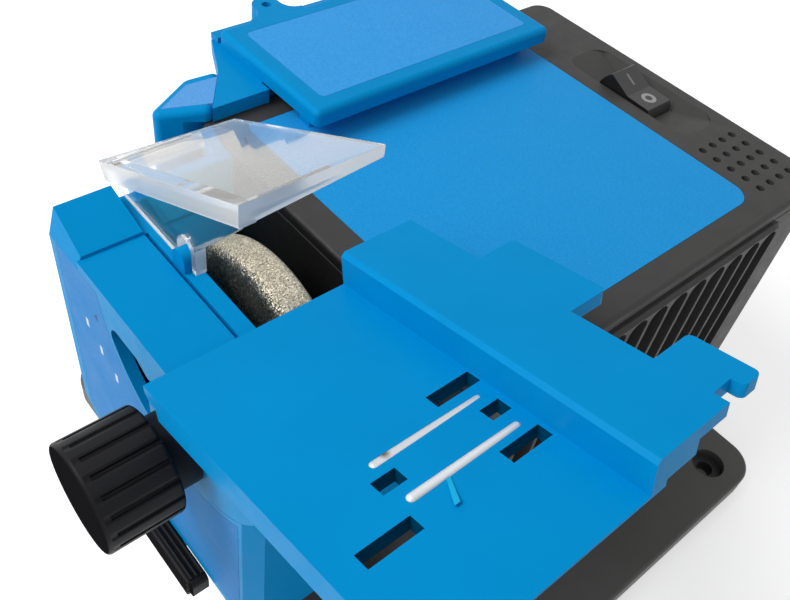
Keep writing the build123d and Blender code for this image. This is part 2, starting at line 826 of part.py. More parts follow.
def make_field_coils():
    coils = []
    for up in (-1, 1):
        coil = sector_x(yoke_in_r - mould_gap, shoe_out_r + mould_gap, pole_half_angle, coil_x0, coil_x1, up)
        coils.append(coil - neck_box(up, mould_gap, mould_gap))
    return joined(coils)


def make_rear_bearing_plate():
    plate = rod_x(yoke_r, rear_plate_x0, rear_plate_x1, 0, spindle_z)
    plate += rod_x(hub_r, rear_plate_x1, rear_bearing_x1 + hub_wall, 0, spindle_z)
    plate -= rod_x(bearing_r + seat_fit, rear_plate_x0, rear_bearing_x1, 0, spindle_z)
    return plate - rod_x(shaft_r + shaft_hole_gap, rear_bearing_x1, rear_bearing_x1 + hub_wall, 0, spindle_z)


def make_carbon_brushes():
    y0 = commutator_r + running_fit
    return joined(span_box(brush_x - brush_w / 2, brush_x + brush_w / 2, min(s * y0, s * (y0 + brush_len)),
                           max(s * y0, s * (y0 + brush_len)), spindle_z - brush_h / 2, spindle_z + brush_h / 2)
                  for s in (-1, 1))


def make_brush_holders():
    holders = []
    y0 = commutator_r + 2 * brush_box_t
    y1 = commutator_r + brush_len + 2 * brush_box_t
    half_w = brush_w / 2 + running_fit
    half_h = brush_h / 2 + running_fit
    for s in (-1, 1):
        low = min(s * y0, s * y1)
        high = max(s * y0, s * y1)
        box = span_box(brush_x - half_w - brush_box_t, rear_plate_x0, low, high,
                       spindle_z - half_h - brush_box_t, spindle_z + half_h + brush_box_t)
        holders.append(box - span_box(brush_x - half_w, brush_x + half_w, low, high,
                                      spindle_z - half_h, spindle_z + half_h))
    return joined(holders)


def make_motor_cradle():
    ribs = [core_x0 + cradle_rib_t, core_x1 - 2 * cradle_rib_t, rear_plate_x0]
    slab_z1 = base_top + cradle_slab_t
    cradle = span_box(core_x0, rear_plate_x1 + cradle_rib_t, -cradle_half_w, cradle_half_w, base_top, slab_z1)
    for x in ribs:
        cradle += profile_x([(-cradle_half_w, slab_z1), (cradle_half_w, slab_z1),
                             (cradle_half_w, spindle_z), (-cradle_half_w, spindle_z)], x, x + cradle_rib_t)
    cradle += span_box(ribs[0], ribs[-1], -cradle_web_t / 2, cradle_web_t / 2, slab_z1,
                       spindle_z - yoke_r / 2)
    return cradle - rod_x(yoke_r + seat_fit, core_x0, rear_plate_x1 + cradle_rib_t, 0, spindle_z)


# Rotor
def make_motor_shaft():
    return chamfer(rod_x(shaft_r, shaft_x0, shaft_x1, 0, spindle_z).edges(), shaft_stub / 2)


def make_armature_core():
    core = rod_x(armature_r, core_x0, core_x1, 0, spindle_z)
    core -= rod_x(shaft_r + seat_fit, core_x0, core_x1, 0, spindle_z)
    slot = span_box(core_x0, core_x1, armature_r - slot_depth, armature_r + cut_over, spindle_z - slot_w / 2,
                    spindle_z + slot_w / 2)
    for n in range(armature_slots):
        core -= turned(slot, 360 / armature_slots * n, 0, spindle_z)
    return core


def make_armature_winding():
    turns = ring_x(winding_r_out, winding_r_in, coil_x0 + pole_gap, core_x0, 0, spindle_z)
    turns += ring_x(winding_r_out, winding_r_in, core_x1, coil_x1, 0, spindle_z)
    half_w = slot_w / 2 - running_fit
    bar = span_box(coil_x0 + coil_end / 2, coil_x1 - coil_end / 2, armature_r - slot_depth + running_fit,
                   winding_r_out, spindle_z - half_w, spindle_z + half_w)
    for n in range(armature_slots):
        turns += turned(bar, 360 / armature_slots * n, 0, spindle_z)
    return turns


def make_commutator():
    drum = ring_x(commutator_r, shaft_r + seat_fit, coil_x1, commutator_x1, 0, spindle_z)
    cut = span_box(commutator_x0, commutator_x1, commutator_r - commutator_cut_depth, commutator_r + cut_over,
                   spindle_z - commutator_cut_w / 2, spindle_z + commutator_cut_w / 2)
    for n in range(armature_slots):
        drum -= turned(cut, 360 / armature_slots * n, 0, spindle_z)
    return drum


def make_cooling_fan():
    fan = rod_x(fan_hub_r, fan_x0, fan_x1, 0, spindle_z)
    fan += rod_x(fan_r, fan_x1 - fan_back_t, fan_x1, 0, spindle_z)
    blade = span_box(fan_x0, fan_x1, fan_hub_r - fan_blade_t, fan_r - fan_blade_t / 2,
                     spindle_z - fan_blade_t / 2, spindle_z + fan_blade_t / 2)
    for n in range(fan_blades):
        fan += turned(blade, 360 / fan_blades * n, 0, spindle_z)
    return fan - rod_x(shaft_r + seat_fit, fan_x0, fan_x1, 0, spindle_z)


def make_wheel_flange():
    flange = rod_x(flange_r, wheel_x1, flange_x1, 0, spindle_z)
    flange += rod_x((flange_r + shaft_r) / 2, flange_x1, flange_x1 + flange_stand / 2, 0, spindle_z)
    return flange - rod_x(shaft_r + seat_fit, wheel_x1, flange_x1 + flange_stand / 2, 0, spindle_z)


def make_grinding_wheel():
    wheel = rod_x(wheel_r, wheel_x0, wheel_x1, 0, spindle_z)
    wheel = fillet(wheel.edges(), wheel_edge_r)
    wheel -= rod_x(wheel_recess_r, wheel_x0, wheel_x0 + wheel_recess_depth, 0, spindle_z)
    return wheel - rod_x(shaft_r + seat_fit, wheel_x0, wheel_x1, 0, spindle_z)


def make_wheel_nut():
    nut = hex_x(nut_hex, nut_x0, nut_x1, 0, spindle_z)
    nut += rod_x(nut_collar_r, nut_x1 - nut_collar_t, nut_x1, 0, spindle_z)
    return nut - rod_x(shaft_r + seat_fit, nut_x0, nut_x1, 0, spindle_z)


# Sharpening head
def make_head_frame():
    frame = span_box(frame_x0, frame_x1, -head_half_w, head_half_w, head_bottom, head_top)
    frame -= span_box(frame_x0 + lip_t, frame_x1, -head_half_w + head_wall, head_half_w - head_wall,
                      head_bottom + head_wall, head_top)
    for side in (-1, 1):
        y = side * (head_half_w - head_wall / 2)
        frame += span_box(frame_x1 - head_wall, frame_x1 + tab_reach, y - tab_t / 2, y + tab_t / 2,
                          tab_z, tab_z + tab_h)
    frame += rod_x(stud_boss_r, ear_x1, frame_x0, stud_y, stud_z)
    frame -= rod_x(stud_r + seat_fit, ear_x1, frame_x0 + lip_t, stud_y, stud_z)
    frame -= hex_x(stud_hex + 2 * seat_fit, frame_x0 + lip_t - stud_hex_h, frame_x0 + lip_t, stud_y, stud_z)
    for y, z in side_posts:
        frame -= rod_x(side_screw_r + running_fit, frame_x0, frame_x0 + lip_t, y, z)
    for x0, x1 in lug_spans:
        lug = rod_x(lug_r, x0, x1, hinge_y, hinge_z)
        diagonal = lug_r / math.sqrt(2)
        root_y = head_half_w - head_wall
        lug += profile_x([(root_y, head_top - lug_root), (hinge_y + diagonal, hinge_z - diagonal),
                          (hinge_y - diagonal, hinge_z + diagonal), (root_y, head_top)], x0, x1)
        frame += lug
    frame += arch_x(stub_r, frame_x0, frame_x0 + lip_t, stub_y, head_top - lip_t, stub_z)
    frame -= rod_x(visor_pin_r + seat_fit, lug_spans[0][0], lug_spans[-1][1], hinge_y, hinge_z)
    guide_y0 = tongue_half_w + guide_gap
    guide_y1 = guide_y0 + guide_cheek_t
    guide_z1 = head_bottom - guide_pad_t
    lip_top = tongue_top - tongue_t - latch_travel - guide_gap
    frame += span_box(frame_x0, frame_x1, -guide_y1, guide_y1, guide_z1, head_bottom)
    for side in (-1, 1):
        cheek = sorted((side * guide_y0, side * guide_y1))
        frame += span_box(frame_x0, frame_x1, *cheek, lip_top - guide_lip_t, guide_z1)
        lip = sorted((side * (guide_y1 - guide_lip_w), side * guide_y1))
        frame += span_box(frame_x0, frame_x1, *lip, lip_top - guide_lip_t, lip_top)
    return frame


def side_outline(inset):
    """Side cover outline in (y, z), drawn in from the outside."""
    y = head_half_w - inset
    z0 = head_bottom + inset
    z1 = head_top - inset
    cut = back_corner_chamfer - inset * (2 - math.sqrt(2))
    return [(-y, z0), (y - cut, z0), (y, z0 + cut), (y, z1), (-y, z1)]


def window_cut(x0, x1, r):
    """Round window about the tilt axis, left closed where the bridge spans it."""
    low = tilt_z - bridge_drop
    step_y = tilt_y + bridge_step_back
    far_y = tilt_y + 2 * r
    far_z = tilt_z + 2 * r
    hole = rod_x(r, x0, x1, tilt_y, tilt_z)
    hole -= profile_x([(tilt_y + bridge_back, low), (step_y, low),
                       (step_y + bridge_step_len, low + bridge_rise), (far_y, low + bridge_rise),
                       (far_y, far_z), (tilt_y + bridge_back, far_z)], x0, x1)
    return fillet(hole.edges().filter_by(Axis.X).sort_by(Axis.Y)[-1], window_corner_r)


def make_side_cover():
    cover = profile_x(side_outline(0), side_x0, frame_x0)
    front_left = cover.edges().filter_by(Axis.Z).sort_by(Axis.Y)[:2].sort_by(Axis.X)[0]
    cover = chamfer(front_left, side_corner_chamfer)
    block_x1 = frame_x0 - block_gap
    block_top = head_top + block_rise
    block_z0 = head_top - block_bevel_drop
    cover += profile_x([(block_front_y, block_z0), (head_half_w, block_z0), (head_half_w, block_top),
                        (block_front_y, head_top + block_step)], side_x0, block_x1)
    cover -= profile_y([(side_x0, block_z0), (side_x0 + block_bevel_w, block_top), (side_x0, block_top)],
                       block_front_y, head_half_w)
    cover -= profile_x(side_outline(side_wall), side_x0 + side_wall, frame_x0)
    cover -= span_box(frame_x0 - seam_w, frame_x0, -head_half_w, block_front_y, head_top - seam_depth,
                      head_top)
    for y, z in side_posts:
        cover += rod_x(side_post_r, side_x0 + side_wall / 2, frame_x0, y, z)
    for y, z in side_posts:
        cover -= rod_x(side_screw_r + seat_fit, frame_x0 - side_screw_len, frame_x0, y, z)
    cover -= window_cut(side_x0, ear_x1 + window_depth_gap, window_r)
    return cover - scale_label_shape(0)


def scale_label_shape(gap):
    """Sheet on the left face, stopped short of the window rim and the face's edges."""
    sheet = profile_x(side_outline(scale_label_margin + gap), side_x0, side_x0 + scale_label_t)
    sheet -= span_box(side_x0, side_x0 + scale_label_t, -head_half_w,
                      -head_half_w + side_corner_chamfer + scale_label_rim + gap, head_bottom, head_top)
    return sheet - rod_x(window_r + scale_label_rim + gap, side_x0, side_x0 + scale_label_t, tilt_y, tilt_z)


def make_scale_label():
    return scale_label_shape(tight_gap)


def make_side_screws():
    screws = []
    head_x0 = frame_x0 + lip_t
    for y, z in side_posts:
        head = rod_x(side_screw_head_r, head_x0, head_x0 + side_screw_head_h, y, z)
        screws.append(head + rod_x(side_screw_r, frame_x0 - side_screw_len + running_fit, head_x0, y, z))
    return joined(screws)


def make_clamp_stud():
    head_x1 = frame_x0 + lip_t
    stud = hex_x(stud_hex, head_x1 - stud_hex_h, head_x1, stud_y, stud_z)
    return stud + rod_x(stud_r, stud_x0, head_x1 - stud_hex_h, stud_y, stud_z)


def make_visor_pin():
    x0 = lug_spans[0][0]
    x1 = lug_spans[-1][1]
    pin = rod_x(visor_pin_r, x0 - visor_pin_end, x1, hinge_y, hinge_z)
    return pin + rod_x(visor_pin_r + visor_pin_end, x0 - visor_pin_end, x0, hinge_y, hinge_z)


# Tilting table. It is drawn level, with u running forward from its back edge
# and w up from its top, and then turned to the slope it stands at.
def table_box(x0, x1, u0, u1, w0, w1):
    back_y = tilt_y - table_back_gap
    top_z = tilt_z + table_t
    return span_box(x0, x1, back_y - u1, back_y - u0, top_z + w0, top_z + w1)


def table_pad(x0, x1, u0, u1, w0, w1):
    """Table box with rounded upright corners."""
    back_y = tilt_y - table_back_gap
    top_z = tilt_z + table_t
    return rounded_block(x0, x1, back_y - u1, back_y - u0, top_z + w0, top_z + w1, wing_corner_r)


def table_profile(points, x0, x1):
    """Outline of (u, w) points drawn out along X."""
    back_y = tilt_y - table_back_gap
    return profile_x([(back_y - u, tilt_z + table_t + w) for u, w in points], x0, x1)


def table_rod(r, u, sinks):
    """Round-ended rod across the table, its axis sunk below the top."""
    y = tilt_y - table_back_gap - u
    ends = [Vector(x, y, tilt_z + table_t - sink) for x, sink in zip((rod_x0 + rod_r, rod_x1 - rod_r), sinks)]
    span = ends[1] - ends[0]
    rod = Plane(origin=(ends[0] + ends[1]) / 2, z_dir=span) * Cylinder(r, span.length)
    for end in ends:
        rod += Pos(end.X, end.Y, end.Z) * Sphere(r)
    return rod


def set_to_slope(shape):
    """Turn a level table piece front up about the tilt axis."""
    return turned(shape, -tilt_rest, tilt_y, tilt_z)


def make_fence():
    """Hollow guide along the table's right side, with its strip, ledge and wing."""
    foot_x1 = fence_x0 + fence_foot_w
    fence = table_box(fence_x0, fence_x1, 0, table_len, fence_lift, fence_h)
    fence += table_box(fence_x0, foot_x1, 0, table_len, -table_t, fence_lift)
    fence = chamfer(fence.edges().filter_by(Axis.Y).group_by(Axis.Z)[-1].sort_by(Axis.X)[0], table_edge_r)
    fence -= table_box(fence_x0 + fence_wall, fence_x1 - fence_wall, fence_wall, table_len - fence_wall,
                       -table_t, fence_h - fence_wall)
    strip_w0 = fence_h - strip_t
    fence += table_box(fence_x1, strip_x1, 0, table_len, strip_w0, fence_h)
    inner_x = strip_x1 - 2 * wing_corner_r
    fence += table_pad(inner_x, ledge_x1, ledge_u0, ledge_u1, strip_w0, fence_h)
    fence += table_pad(inner_x, ledge_x1, wing_u0, wing_u1, strip_w0, fence_h)
    fence += table_pad(ledge_x1 - wing_peg_w, ledge_x1, wing_u1 - 2 * wing_corner_r, wing_u1 + wing_peg_len,
                       strip_w0, fence_h)
    return fence


def make_ear():
    """Disc that turns in the side cover's window, with the arc slot for the stud."""
    far = 3 * ear_r
    ear = rod_x(ear_r, ear_x0, ear_x1, tilt_y, tilt_z)
    ear -= span_box(ear_x0, ear_x1, tilt_y + ear_back, tilt_y + far, tilt_z - far, tilt_z + far)
    roof = span_box(ear_x0, ear_x1, tilt_y - ear_arm_back, tilt_y + far, tilt_z - ear_top_dist, tilt_z + far)
    ear -= turned(roof, -tilt_travel, tilt_y, tilt_z)
    ear -= set_to_slope(span_box(ear_x0, ear_x1, tilt_y - far, tilt_y + far, tilt_z + table_t / 2,
                                 tilt_z + far))
    half_w = stud_r + mould_gap
    swing = tilt_travel + 1
    ends = [turned(rod_x(half_w, ear_x0, ear_x1, stud_y, stud_z), a, tilt_y, tilt_z) for a in (-swing, swing)]
    reach = (stud_drop + half_w) * math.tan(math.radians(swing))
    fan = profile_x([(tilt_y, tilt_z), (tilt_y - reach, tilt_z - stud_drop - half_w),
                     (tilt_y + reach, tilt_z - stud_drop - half_w)], ear_x0, ear_x1)
    track = ring_x(stud_drop + half_w, stud_drop - half_w, ear_x0, ear_x1, tilt_y, tilt_z) & fan
    return ear - track - ends[0] - ends[1]


def make_tilt_table():
    table = table_box(table_x0, fence_x0 + fence_foot_w, 0, table_len, -table_t, 0)
    table = chamfer(table.edges().filter_by(Axis.X).group_by(Axis.Z)[0].sort_by(Axis.Y)[-1], table_back_bevel)
    rib_u1 = table_len - table_front_bevel
    table += table_box(table_x0, table_x0 + skirt_t, skirt_h / 2, rib_u1, -skirt_h, 0)
    table += table_box(table_x0, fence_x0 + fence_foot_w, rib_u1 - skirt_t, rib_u1, -skirt_h, 0)
    table += make_fence()
    table -= table_profile([(table_len, -table_front_t), (rib_u1, -table_t), (table_len, -table_t)], table_x0,
                           fence_x0 + fence_foot_w)
    for gap, length, u in slot_cuts:
        x1 = fence_x0 - gap
        table -= table_box(x1 - length, x1, u - slot_cut_w / 2, u + slot_cut_w / 2, -table_t, 0)
    for u, sinks in zip(rod_places, rod_sinks):
        table -= table_rod(rod_r + seat_fit, u, sinks)
    return set_to_slope(table) + make_ear()


def make_wear_rods():
    return joined(set_to_slope(table_rod(rod_r, u, sinks)) for u, sinks in zip(rod_places, rod_sinks))


# Clamp knob
def make_clamp_knob():
    knob = rod_x(knob_r, knob_x0, knob_neck_x0, stud_y, stud_z)
    knob = fillet(knob.edges().filter_by(GeomType.CIRCLE), knob_edge_r)
    for n in range(knob_flutes):
        flute = rod_x(knob_flute_r, knob_x0 + knob_band, knob_neck_x0, stud_y,
                      stud_z + knob_r + knob_flute_r - knob_flute_depth)
        knob -= turned(flute, 360 / knob_flutes * n, stud_y, stud_z)
    knob += rod_x(knob_neck_r, knob_neck_x0, knob_x1, stud_y, stud_z)
    return knob - rod_x(insert_r + seat_fit, knob_x1 - insert_len, knob_x1, stud_y, stud_z) \
        - rod_x(stud_r + running_fit, stud_x0 - cut_over, knob_x1, stud_y, stud_z)


def make_knob_insert():
    return ring_x(insert_r, stud_r + running_fit, knob_x1 - insert_len, knob_x1, stud_y, stud_z)


# Clear visor. Its plate is drawn level from the hinge line forward and then sloped.
def visor_box(x0, x1, u0, u1, w0, w1):
    level = span_box(x0, x1, hinge_y - u1, hinge_y - u0, hinge_z + w0, hinge_z + w1)
    return turned(level, -visor_slope, hinge_y, hinge_z)


def visor_point(u, w):
    """Place (y, z) on the sloped visor, u forward of the hinge line and w above it."""
    slope = math.radians(visor_slope)
    return (hinge_y - u * math.cos(slope) + w * math.sin(slope),
            hinge_z + u * math.sin(slope) + w * math.cos(slope))


def make_visor():
    top_w = visor_lift + visor_t
    front_y, front_z = visor_point(visor_len, top_w)
    far = 2 * visor_len
    plate = profile_z([(visor_x0, hinge_y - visor_back_u0), (visor_x1, hinge_y - visor_back_u1),
                       (visor_x1, hinge_y - far), (visor_x0, hinge_y - far)],
                      hinge_z + visor_lift, hinge_z + top_w)
    visor = turned(plate, -visor_slope, hinge_y, hinge_z)
    visor += visor_box(visor_x0, visor_x0 + visor_rim_t, visor_back_u0, far, top_w - visor_rim_depth, top_w)
    front = profile_y([(visor_x0, front_z - visor_front_h0), (visor_x1, front_z - visor_front_h1),
                       (visor_x1, front_z + visor_rim_t), (visor_x0, front_z + visor_rim_t)],
                      front_y, front_y + visor_rim_t)
    visor += front & visor_box(visor_x0, visor_x1, 0, far, -far, top_w)
    floor = head_top + cheek_floor_gap
    cheek = profile_x([(hinge_y + cheek_back_over, floor), (leg_y, floor), (leg_y, floor + leg_h),
                       (front_y, front_z - visor_front_h0), visor_point(visor_len, visor_lift),
                       visor_point(visor_back_u0, top_w - visor_t / 2)], cheek_x0, cheek_x1)
    visor += cheek - arch_x(stub_r + stub_gap, cheek_x0, cheek_x1, stub_y, floor, stub_z + stub_over)
    visor -= span_box(visor_x0, visor_x1, front_y - far, front_y, head_top, front_z + far)
    rib_x0 = visor_x0 + visor_rib_inset
    visor += visor_box(rib_x0, rib_x0 + visor_rib_len, visor_rib_u, visor_rib_u + visor_rib_w, top_w,
                       top_w + visor_rib_h)
    barrel_x0 = lug_spans[0][1] + lug_gap
    barrel_x1 = lug_spans[-1][0] - lug_gap
    visor += rod_x(barrel_r, barrel_x0, barrel_x1, hinge_y, hinge_z)
    return visor - rod_x(visor_pin_r + running_fit, barrel_x0, barrel_x1, hinge_y, hinge_z)


# Latch
def make_head_latch():
    bar_x1 = latch_bar_x0 + latch_bar_t
    bar = span_box(latch_bar_x0, bar_x1, -latch_half_len, latch_half_len, latch_top - latch_bar_h, latch_top)
    bar = fillet(bar.edges().filter_by(Axis.X), latch_end_r)
    spacing = latch_bar_h / latch_ridges
    for n in range(latch_ridges):
        z = latch_top - spacing * (n + 0.5)
        bar += rod_y(latch_ridge_r, -latch_half_len + latch_end_r, latch_half_len - latch_end_r,
                     latch_bar_x0, z)
    return bar + span_box(bar_x1, housing_x0 + tongue_reach, -tongue_half_w, tongue_half_w,
                          tongue_top - tongue_t, tongue_top)


# Parked knife head
def parked_label_spans():
    m = parked_label_margin
    return parked_x0 + m, parked_x1 - m, parked_y0 + m, parked_y1 - m


def make_nose(body_z0):
    """Tapered nose at the left of the parked head, its top falling away from the shelf."""
    nose = profile_z([shelf_front, nose_tip, nose_back, shelf_back], body_z0, shelf_top)
    along = Vector(*shelf_back) - Vector(*shelf_front)
    across = Vector(-along.Y, along.X).normalized()
    fall = math.radians(nose_fall)
    top = Plane(origin=(*shelf_front, shelf_top), x_dir=along,
                z_dir=across * math.sin(fall) + Vector(0, 0, math.cos(fall)))
    size = 2 * (nose_len + nose_back_y)
    nose -= top * Box(size, size, size, align=(Align.CENTER, Align.CENTER, Align.MIN))
    nose = fillet(nose.edges().filter_by(Axis.Z).sort_by(Axis.X)[:2], nose_corner_r)
    outer = [e for e in nose.faces().sort_by(Axis.Z)[-1].edges() if e.center().X < shelf_front[0]]
    nose = fillet(outer, nose_edge_r)
    return nose - span_box(nose_tip[0], parked_x0, shelf_front[1], parked_body_y0 + nose_step, body_z0,
                           shelf_bottom)


def make_lug():
    """Eye on the back of the parked head's plate, on two hollow shoulders."""
    x, y = parked_lug_x, parked_y1 + parked_lug_reach
    r, k = parked_lug_r, parked_lug_foot_r
    lug = rod_z(r, parked_bottom, parked_top, x, y)
    lug += span_box(x - r, x + r, parked_y1 - parked_edge_r, y, parked_bottom, parked_top)
    for side in (-1, 1):
        edge = x + side * r
        foot = span_box(min(edge, edge + side * k), max(edge, edge + side * k), parked_y1 - parked_edge_r,
                        parked_y1 + k, parked_bottom, parked_top)
        lug += foot - rod_z(k, parked_bottom, parked_top, edge + side * k, parked_y1 + k)
    return lug - rod_z(parked_lug_hole_r, parked_bottom, parked_top, x, y)


def make_knife_head():
    x0, x1, w = parked_x0, parked_x1, parked_wall
    plate = rounded_block(x0, x1, parked_y0, parked_y1, parked_bottom, parked_top, parked_edge_r)
    plate = fillet(plate.edges().group_by(Axis.Z)[-1], parked_edge_r)
    body_z0 = parked_bottom - parked_body_h
    head = plate + span_box(x0, x1, parked_body_y0, parked_body_y1, body_z0, parked_bottom)
    head += span_box(x0, x1, parked_body_y1, parked_lip_y, parked_bottom, parked_bottom + parked_lip_t)
    cove_z = parked_bottom - math.sqrt(cove_r**2 - (cove_r - parked_lip_out)**2)
    cove = span_box(x0, x1, parked_body_y1, parked_lip_y, cove_z, parked_bottom)
    head += cove - rod_x(cove_r, x0, x1, parked_body_y1 + cove_r, cove_z)
    head += profile_z([(x0, shelf_front[1]), shelf_front, shelf_back, (x0, parked_lip_y)],
                      shelf_bottom, shelf_top)
    head += make_nose(body_z0)
    head -= span_box(x0 + w, x1 - w, parked_body_y0 + w, parked_body_y1 - w, body_z0, parked_bottom - w)
    stem_gap = 2 * mould_gap
    head -= span_box(rail_x - rail_stem_w / 2 - stem_gap, rail_x + rail_stem_w / 2 + stem_gap,
                     parked_body_y0, parked_body_y0 + w, body_z0, rail_z1 + stem_gap)
    head += span_box(x0 + w, x1 - w, runner_y0, runner_y1, housing_top, parked_bottom)
    head += make_lug()
    for inset in knife_slot_insets:
        head -= span_box(x0 + inset, x0 + inset + knife_slot_w, parked_body_y1 - w, parked_body_y1,
                         body_z0, body_z0 + knife_slot_h)
    label_x0, label_x1, label_y0, label_y1 = parked_label_spans()
    return head - rounded_block(label_x0, label_x1, label_y0, label_y1, parked_top - label_t, parked_top,
                                parked_edge_r)


def make_knife_head_label():
    x0, x1, y0, y1 = parked_label_spans()
    g = tight_gap
    return rounded_block(x0 + g, x1 - g, y0 + g, y1 - g, parked_top - label_t, parked_top, parked_edge_r - g)


parts = {
    "base_plate": make_base_plate(),
    "rubber_feet": make_rubber_feet(),
    "base_screws": make_base_screws(),
    "motor_housing": make_motor_housing(),
    "top_cover": make_top_cover(),
    "top_label": make_top_label(),
    "switch_body": make_switch_body(),
    "rocker": make_rocker(),
    "cord_gland": make_cord_gland(),
    "motor_cradle": make_motor_cradle(),
    "front_bearing_plate": make_front_bearing_plate(),
    "plate_screws": make_plate_screws(),
    "front_bearing": make_bearing(front_bearing_x0),
    "rear_bearing_plate": make_rear_bearing_plate(),
    "rear_bearing": make_bearing(rear_bearing_x0),
    "field_core": make_field_core(),
    "field_coils": make_field_coils(),
    "carbon_brushes": make_carbon_brushes(),
    "brush_holders": make_brush_holders(),
    "motor_shaft": make_motor_shaft(),
    "armature_core": make_armature_core(),
    "armature_winding": make_armature_winding(),
    "commutator": make_commutator(),
    "cooling_fan": make_cooling_fan(),
    "wheel_flange": make_wheel_flange(),
    "grinding_wheel": make_grinding_wheel(),
    "wheel_nut": make_wheel_nut(),
    "head_frame": make_head_frame(),
    "side_cover": make_side_cover(),
    "side_screws": make_side_screws(),
    "scale_label": make_scale_label(),
    "clamp_stud": make_clamp_stud(),
    "visor_pin": make_visor_pin(),
    "tilt_table": make_tilt_table(),
    "wear_rods": make_wear_rods(),
    "clamp_knob": make_clamp_knob(),
    "knob_insert": make_knob_insert(),
    "visor": make_visor(),
    "head_latch": make_head_latch(),
    "knife_head": make_knife_head(),
    "knife_head_label": make_knife_head_label(),
}

for name, shape in parts.items():
    export_step(shape, f"parts/{name}.step")
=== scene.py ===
import json
import math

import bmesh
import bpy
from mathutils import Matrix, Vector


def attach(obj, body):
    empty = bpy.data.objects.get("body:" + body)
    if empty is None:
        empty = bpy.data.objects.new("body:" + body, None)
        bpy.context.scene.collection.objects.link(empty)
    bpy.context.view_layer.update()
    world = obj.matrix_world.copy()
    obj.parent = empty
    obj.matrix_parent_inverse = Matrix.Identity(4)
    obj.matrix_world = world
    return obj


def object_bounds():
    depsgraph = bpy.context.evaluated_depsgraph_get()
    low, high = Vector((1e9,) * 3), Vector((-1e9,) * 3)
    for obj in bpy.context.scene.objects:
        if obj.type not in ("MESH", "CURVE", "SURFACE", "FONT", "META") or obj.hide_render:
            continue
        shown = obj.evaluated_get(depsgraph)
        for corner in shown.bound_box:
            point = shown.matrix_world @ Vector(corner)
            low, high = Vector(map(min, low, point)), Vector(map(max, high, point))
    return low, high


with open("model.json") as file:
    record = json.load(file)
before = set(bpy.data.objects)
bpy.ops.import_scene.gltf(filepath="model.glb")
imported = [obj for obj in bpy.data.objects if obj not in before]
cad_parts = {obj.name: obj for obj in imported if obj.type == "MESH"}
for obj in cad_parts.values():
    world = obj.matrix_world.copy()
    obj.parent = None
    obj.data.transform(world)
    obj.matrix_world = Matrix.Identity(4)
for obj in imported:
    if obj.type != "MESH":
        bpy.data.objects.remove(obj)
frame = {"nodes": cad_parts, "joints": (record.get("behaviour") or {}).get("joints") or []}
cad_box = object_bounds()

NODES = frame["nodes"]
MM = 0.001
SHADER = "Principled BSDF"
WHITE = (1.0, 1.0, 1.0)


def joint_place(name):
    """Place of a joint's axis, in millimetres."""
    joint = next(joint for joint in frame["joints"] if joint["name"] == name)
    return [part / MM for part in joint["pos_m"]]


# Camera, solved from the photo's perspective
IMAGE_WIDTH = 790
FOCAL_PIXELS = 864.36
SENSOR_WIDTH = 36.0
CLIP_START = 5.0 * MM
CAMERA_PLACE = Vector((-0.1244, -0.0968, 0.2207))
CAMERA_RIGHT = Vector((0.75854, -0.64071, 0.11875))
CAMERA_UP = Vector((0.40815, 0.60922, 0.67990))

# Ground and light, in metres and watts
FLOOR_Z = cad_box[0].z
FLOOR_SIZE = 6.0
FLOOR_TONES = ((0.90, 0.90, 0.90), (0.93, 0.93, 0.93))
FLOOR_CELLS = 3.0
FLOOR_ROUGHNESS = 0.9
FLOOR_GLOW = 0.47
GLOW_STARTS = 71.0 * MM
WORLD_LIGHT = 0.44
KEY_PLACE = (-0.55, 0.28, 0.75)
KEY_TARGET = (0.0, 0.0, 0.08)
KEY_SIZE = 0.5
KEY_POWER = 5.4
FILL_PLACE = (-0.8, -0.15, 0.45)
FILL_TARGET = (-0.03, 0.0, 0.08)
FILL_SIZE = 0.6
FILL_POWER = 0.55

# Linear colours
BLUE = (0.0, 0.262, 0.600)
LABEL_BLUE = (0.014, 0.310, 0.720)
PARKED_LABEL_BLUE = (0.040, 0.335, 0.780)
SIDE_LABEL_BLUE = (0.040, 0.235, 0.570)
NOSE_LABEL_BLUE = (0.10, 0.34, 0.74)
POINTER_BLUE = (0.0, 0.075, 0.24)
CURL_BLUE = (0.0, 0.40, 0.72)
HOUSING_GREY = (0.047, 0.046, 0.045)
BASE_GREY = (0.098, 0.096, 0.093)
KNOB_BLACK = (0.010, 0.010, 0.011)
SWITCH_BLACK = (0.055, 0.055, 0.055)
RUBBER_BLACK = (0.022, 0.022, 0.022)
MOTOR_GREY = (0.10, 0.10, 0.11)
CARBON = (0.035, 0.035, 0.036)
MARK_GREY = (0.30, 0.30, 0.31)
MARK_DIM = (0.17, 0.17, 0.17)
MARK_WHITE = (0.62, 0.68, 0.80)
STEEL = (0.62, 0.61, 0.59)
ROD_STEEL = (0.70, 0.72, 0.74)
STAIN_BROWN = (0.30, 0.20, 0.13)
DIE_CAST = (0.55, 0.55, 0.56)
LAMINATION = (0.16, 0.16, 0.17)
COPPER = (0.58, 0.24, 0.11)
BRASS = (0.70, 0.50, 0.20)
GRIT_DARK = (0.25, 0.21, 0.145)
GRIT_PALE = (1.0, 0.92, 0.72)
# Painted shade for the wheel's left shoulder
GRIT_PAINTED_SHADE = (0.05, 0.07, 0.08)
CLEAR_WALL = WHITE
CLEAR_REST = (0.95, 0.935, 0.905)
# Painted light for the back wall of the wheel's chamber
BACK_WALL_PAINTED_LIGHT = (1.0, 2.4, 1.65)

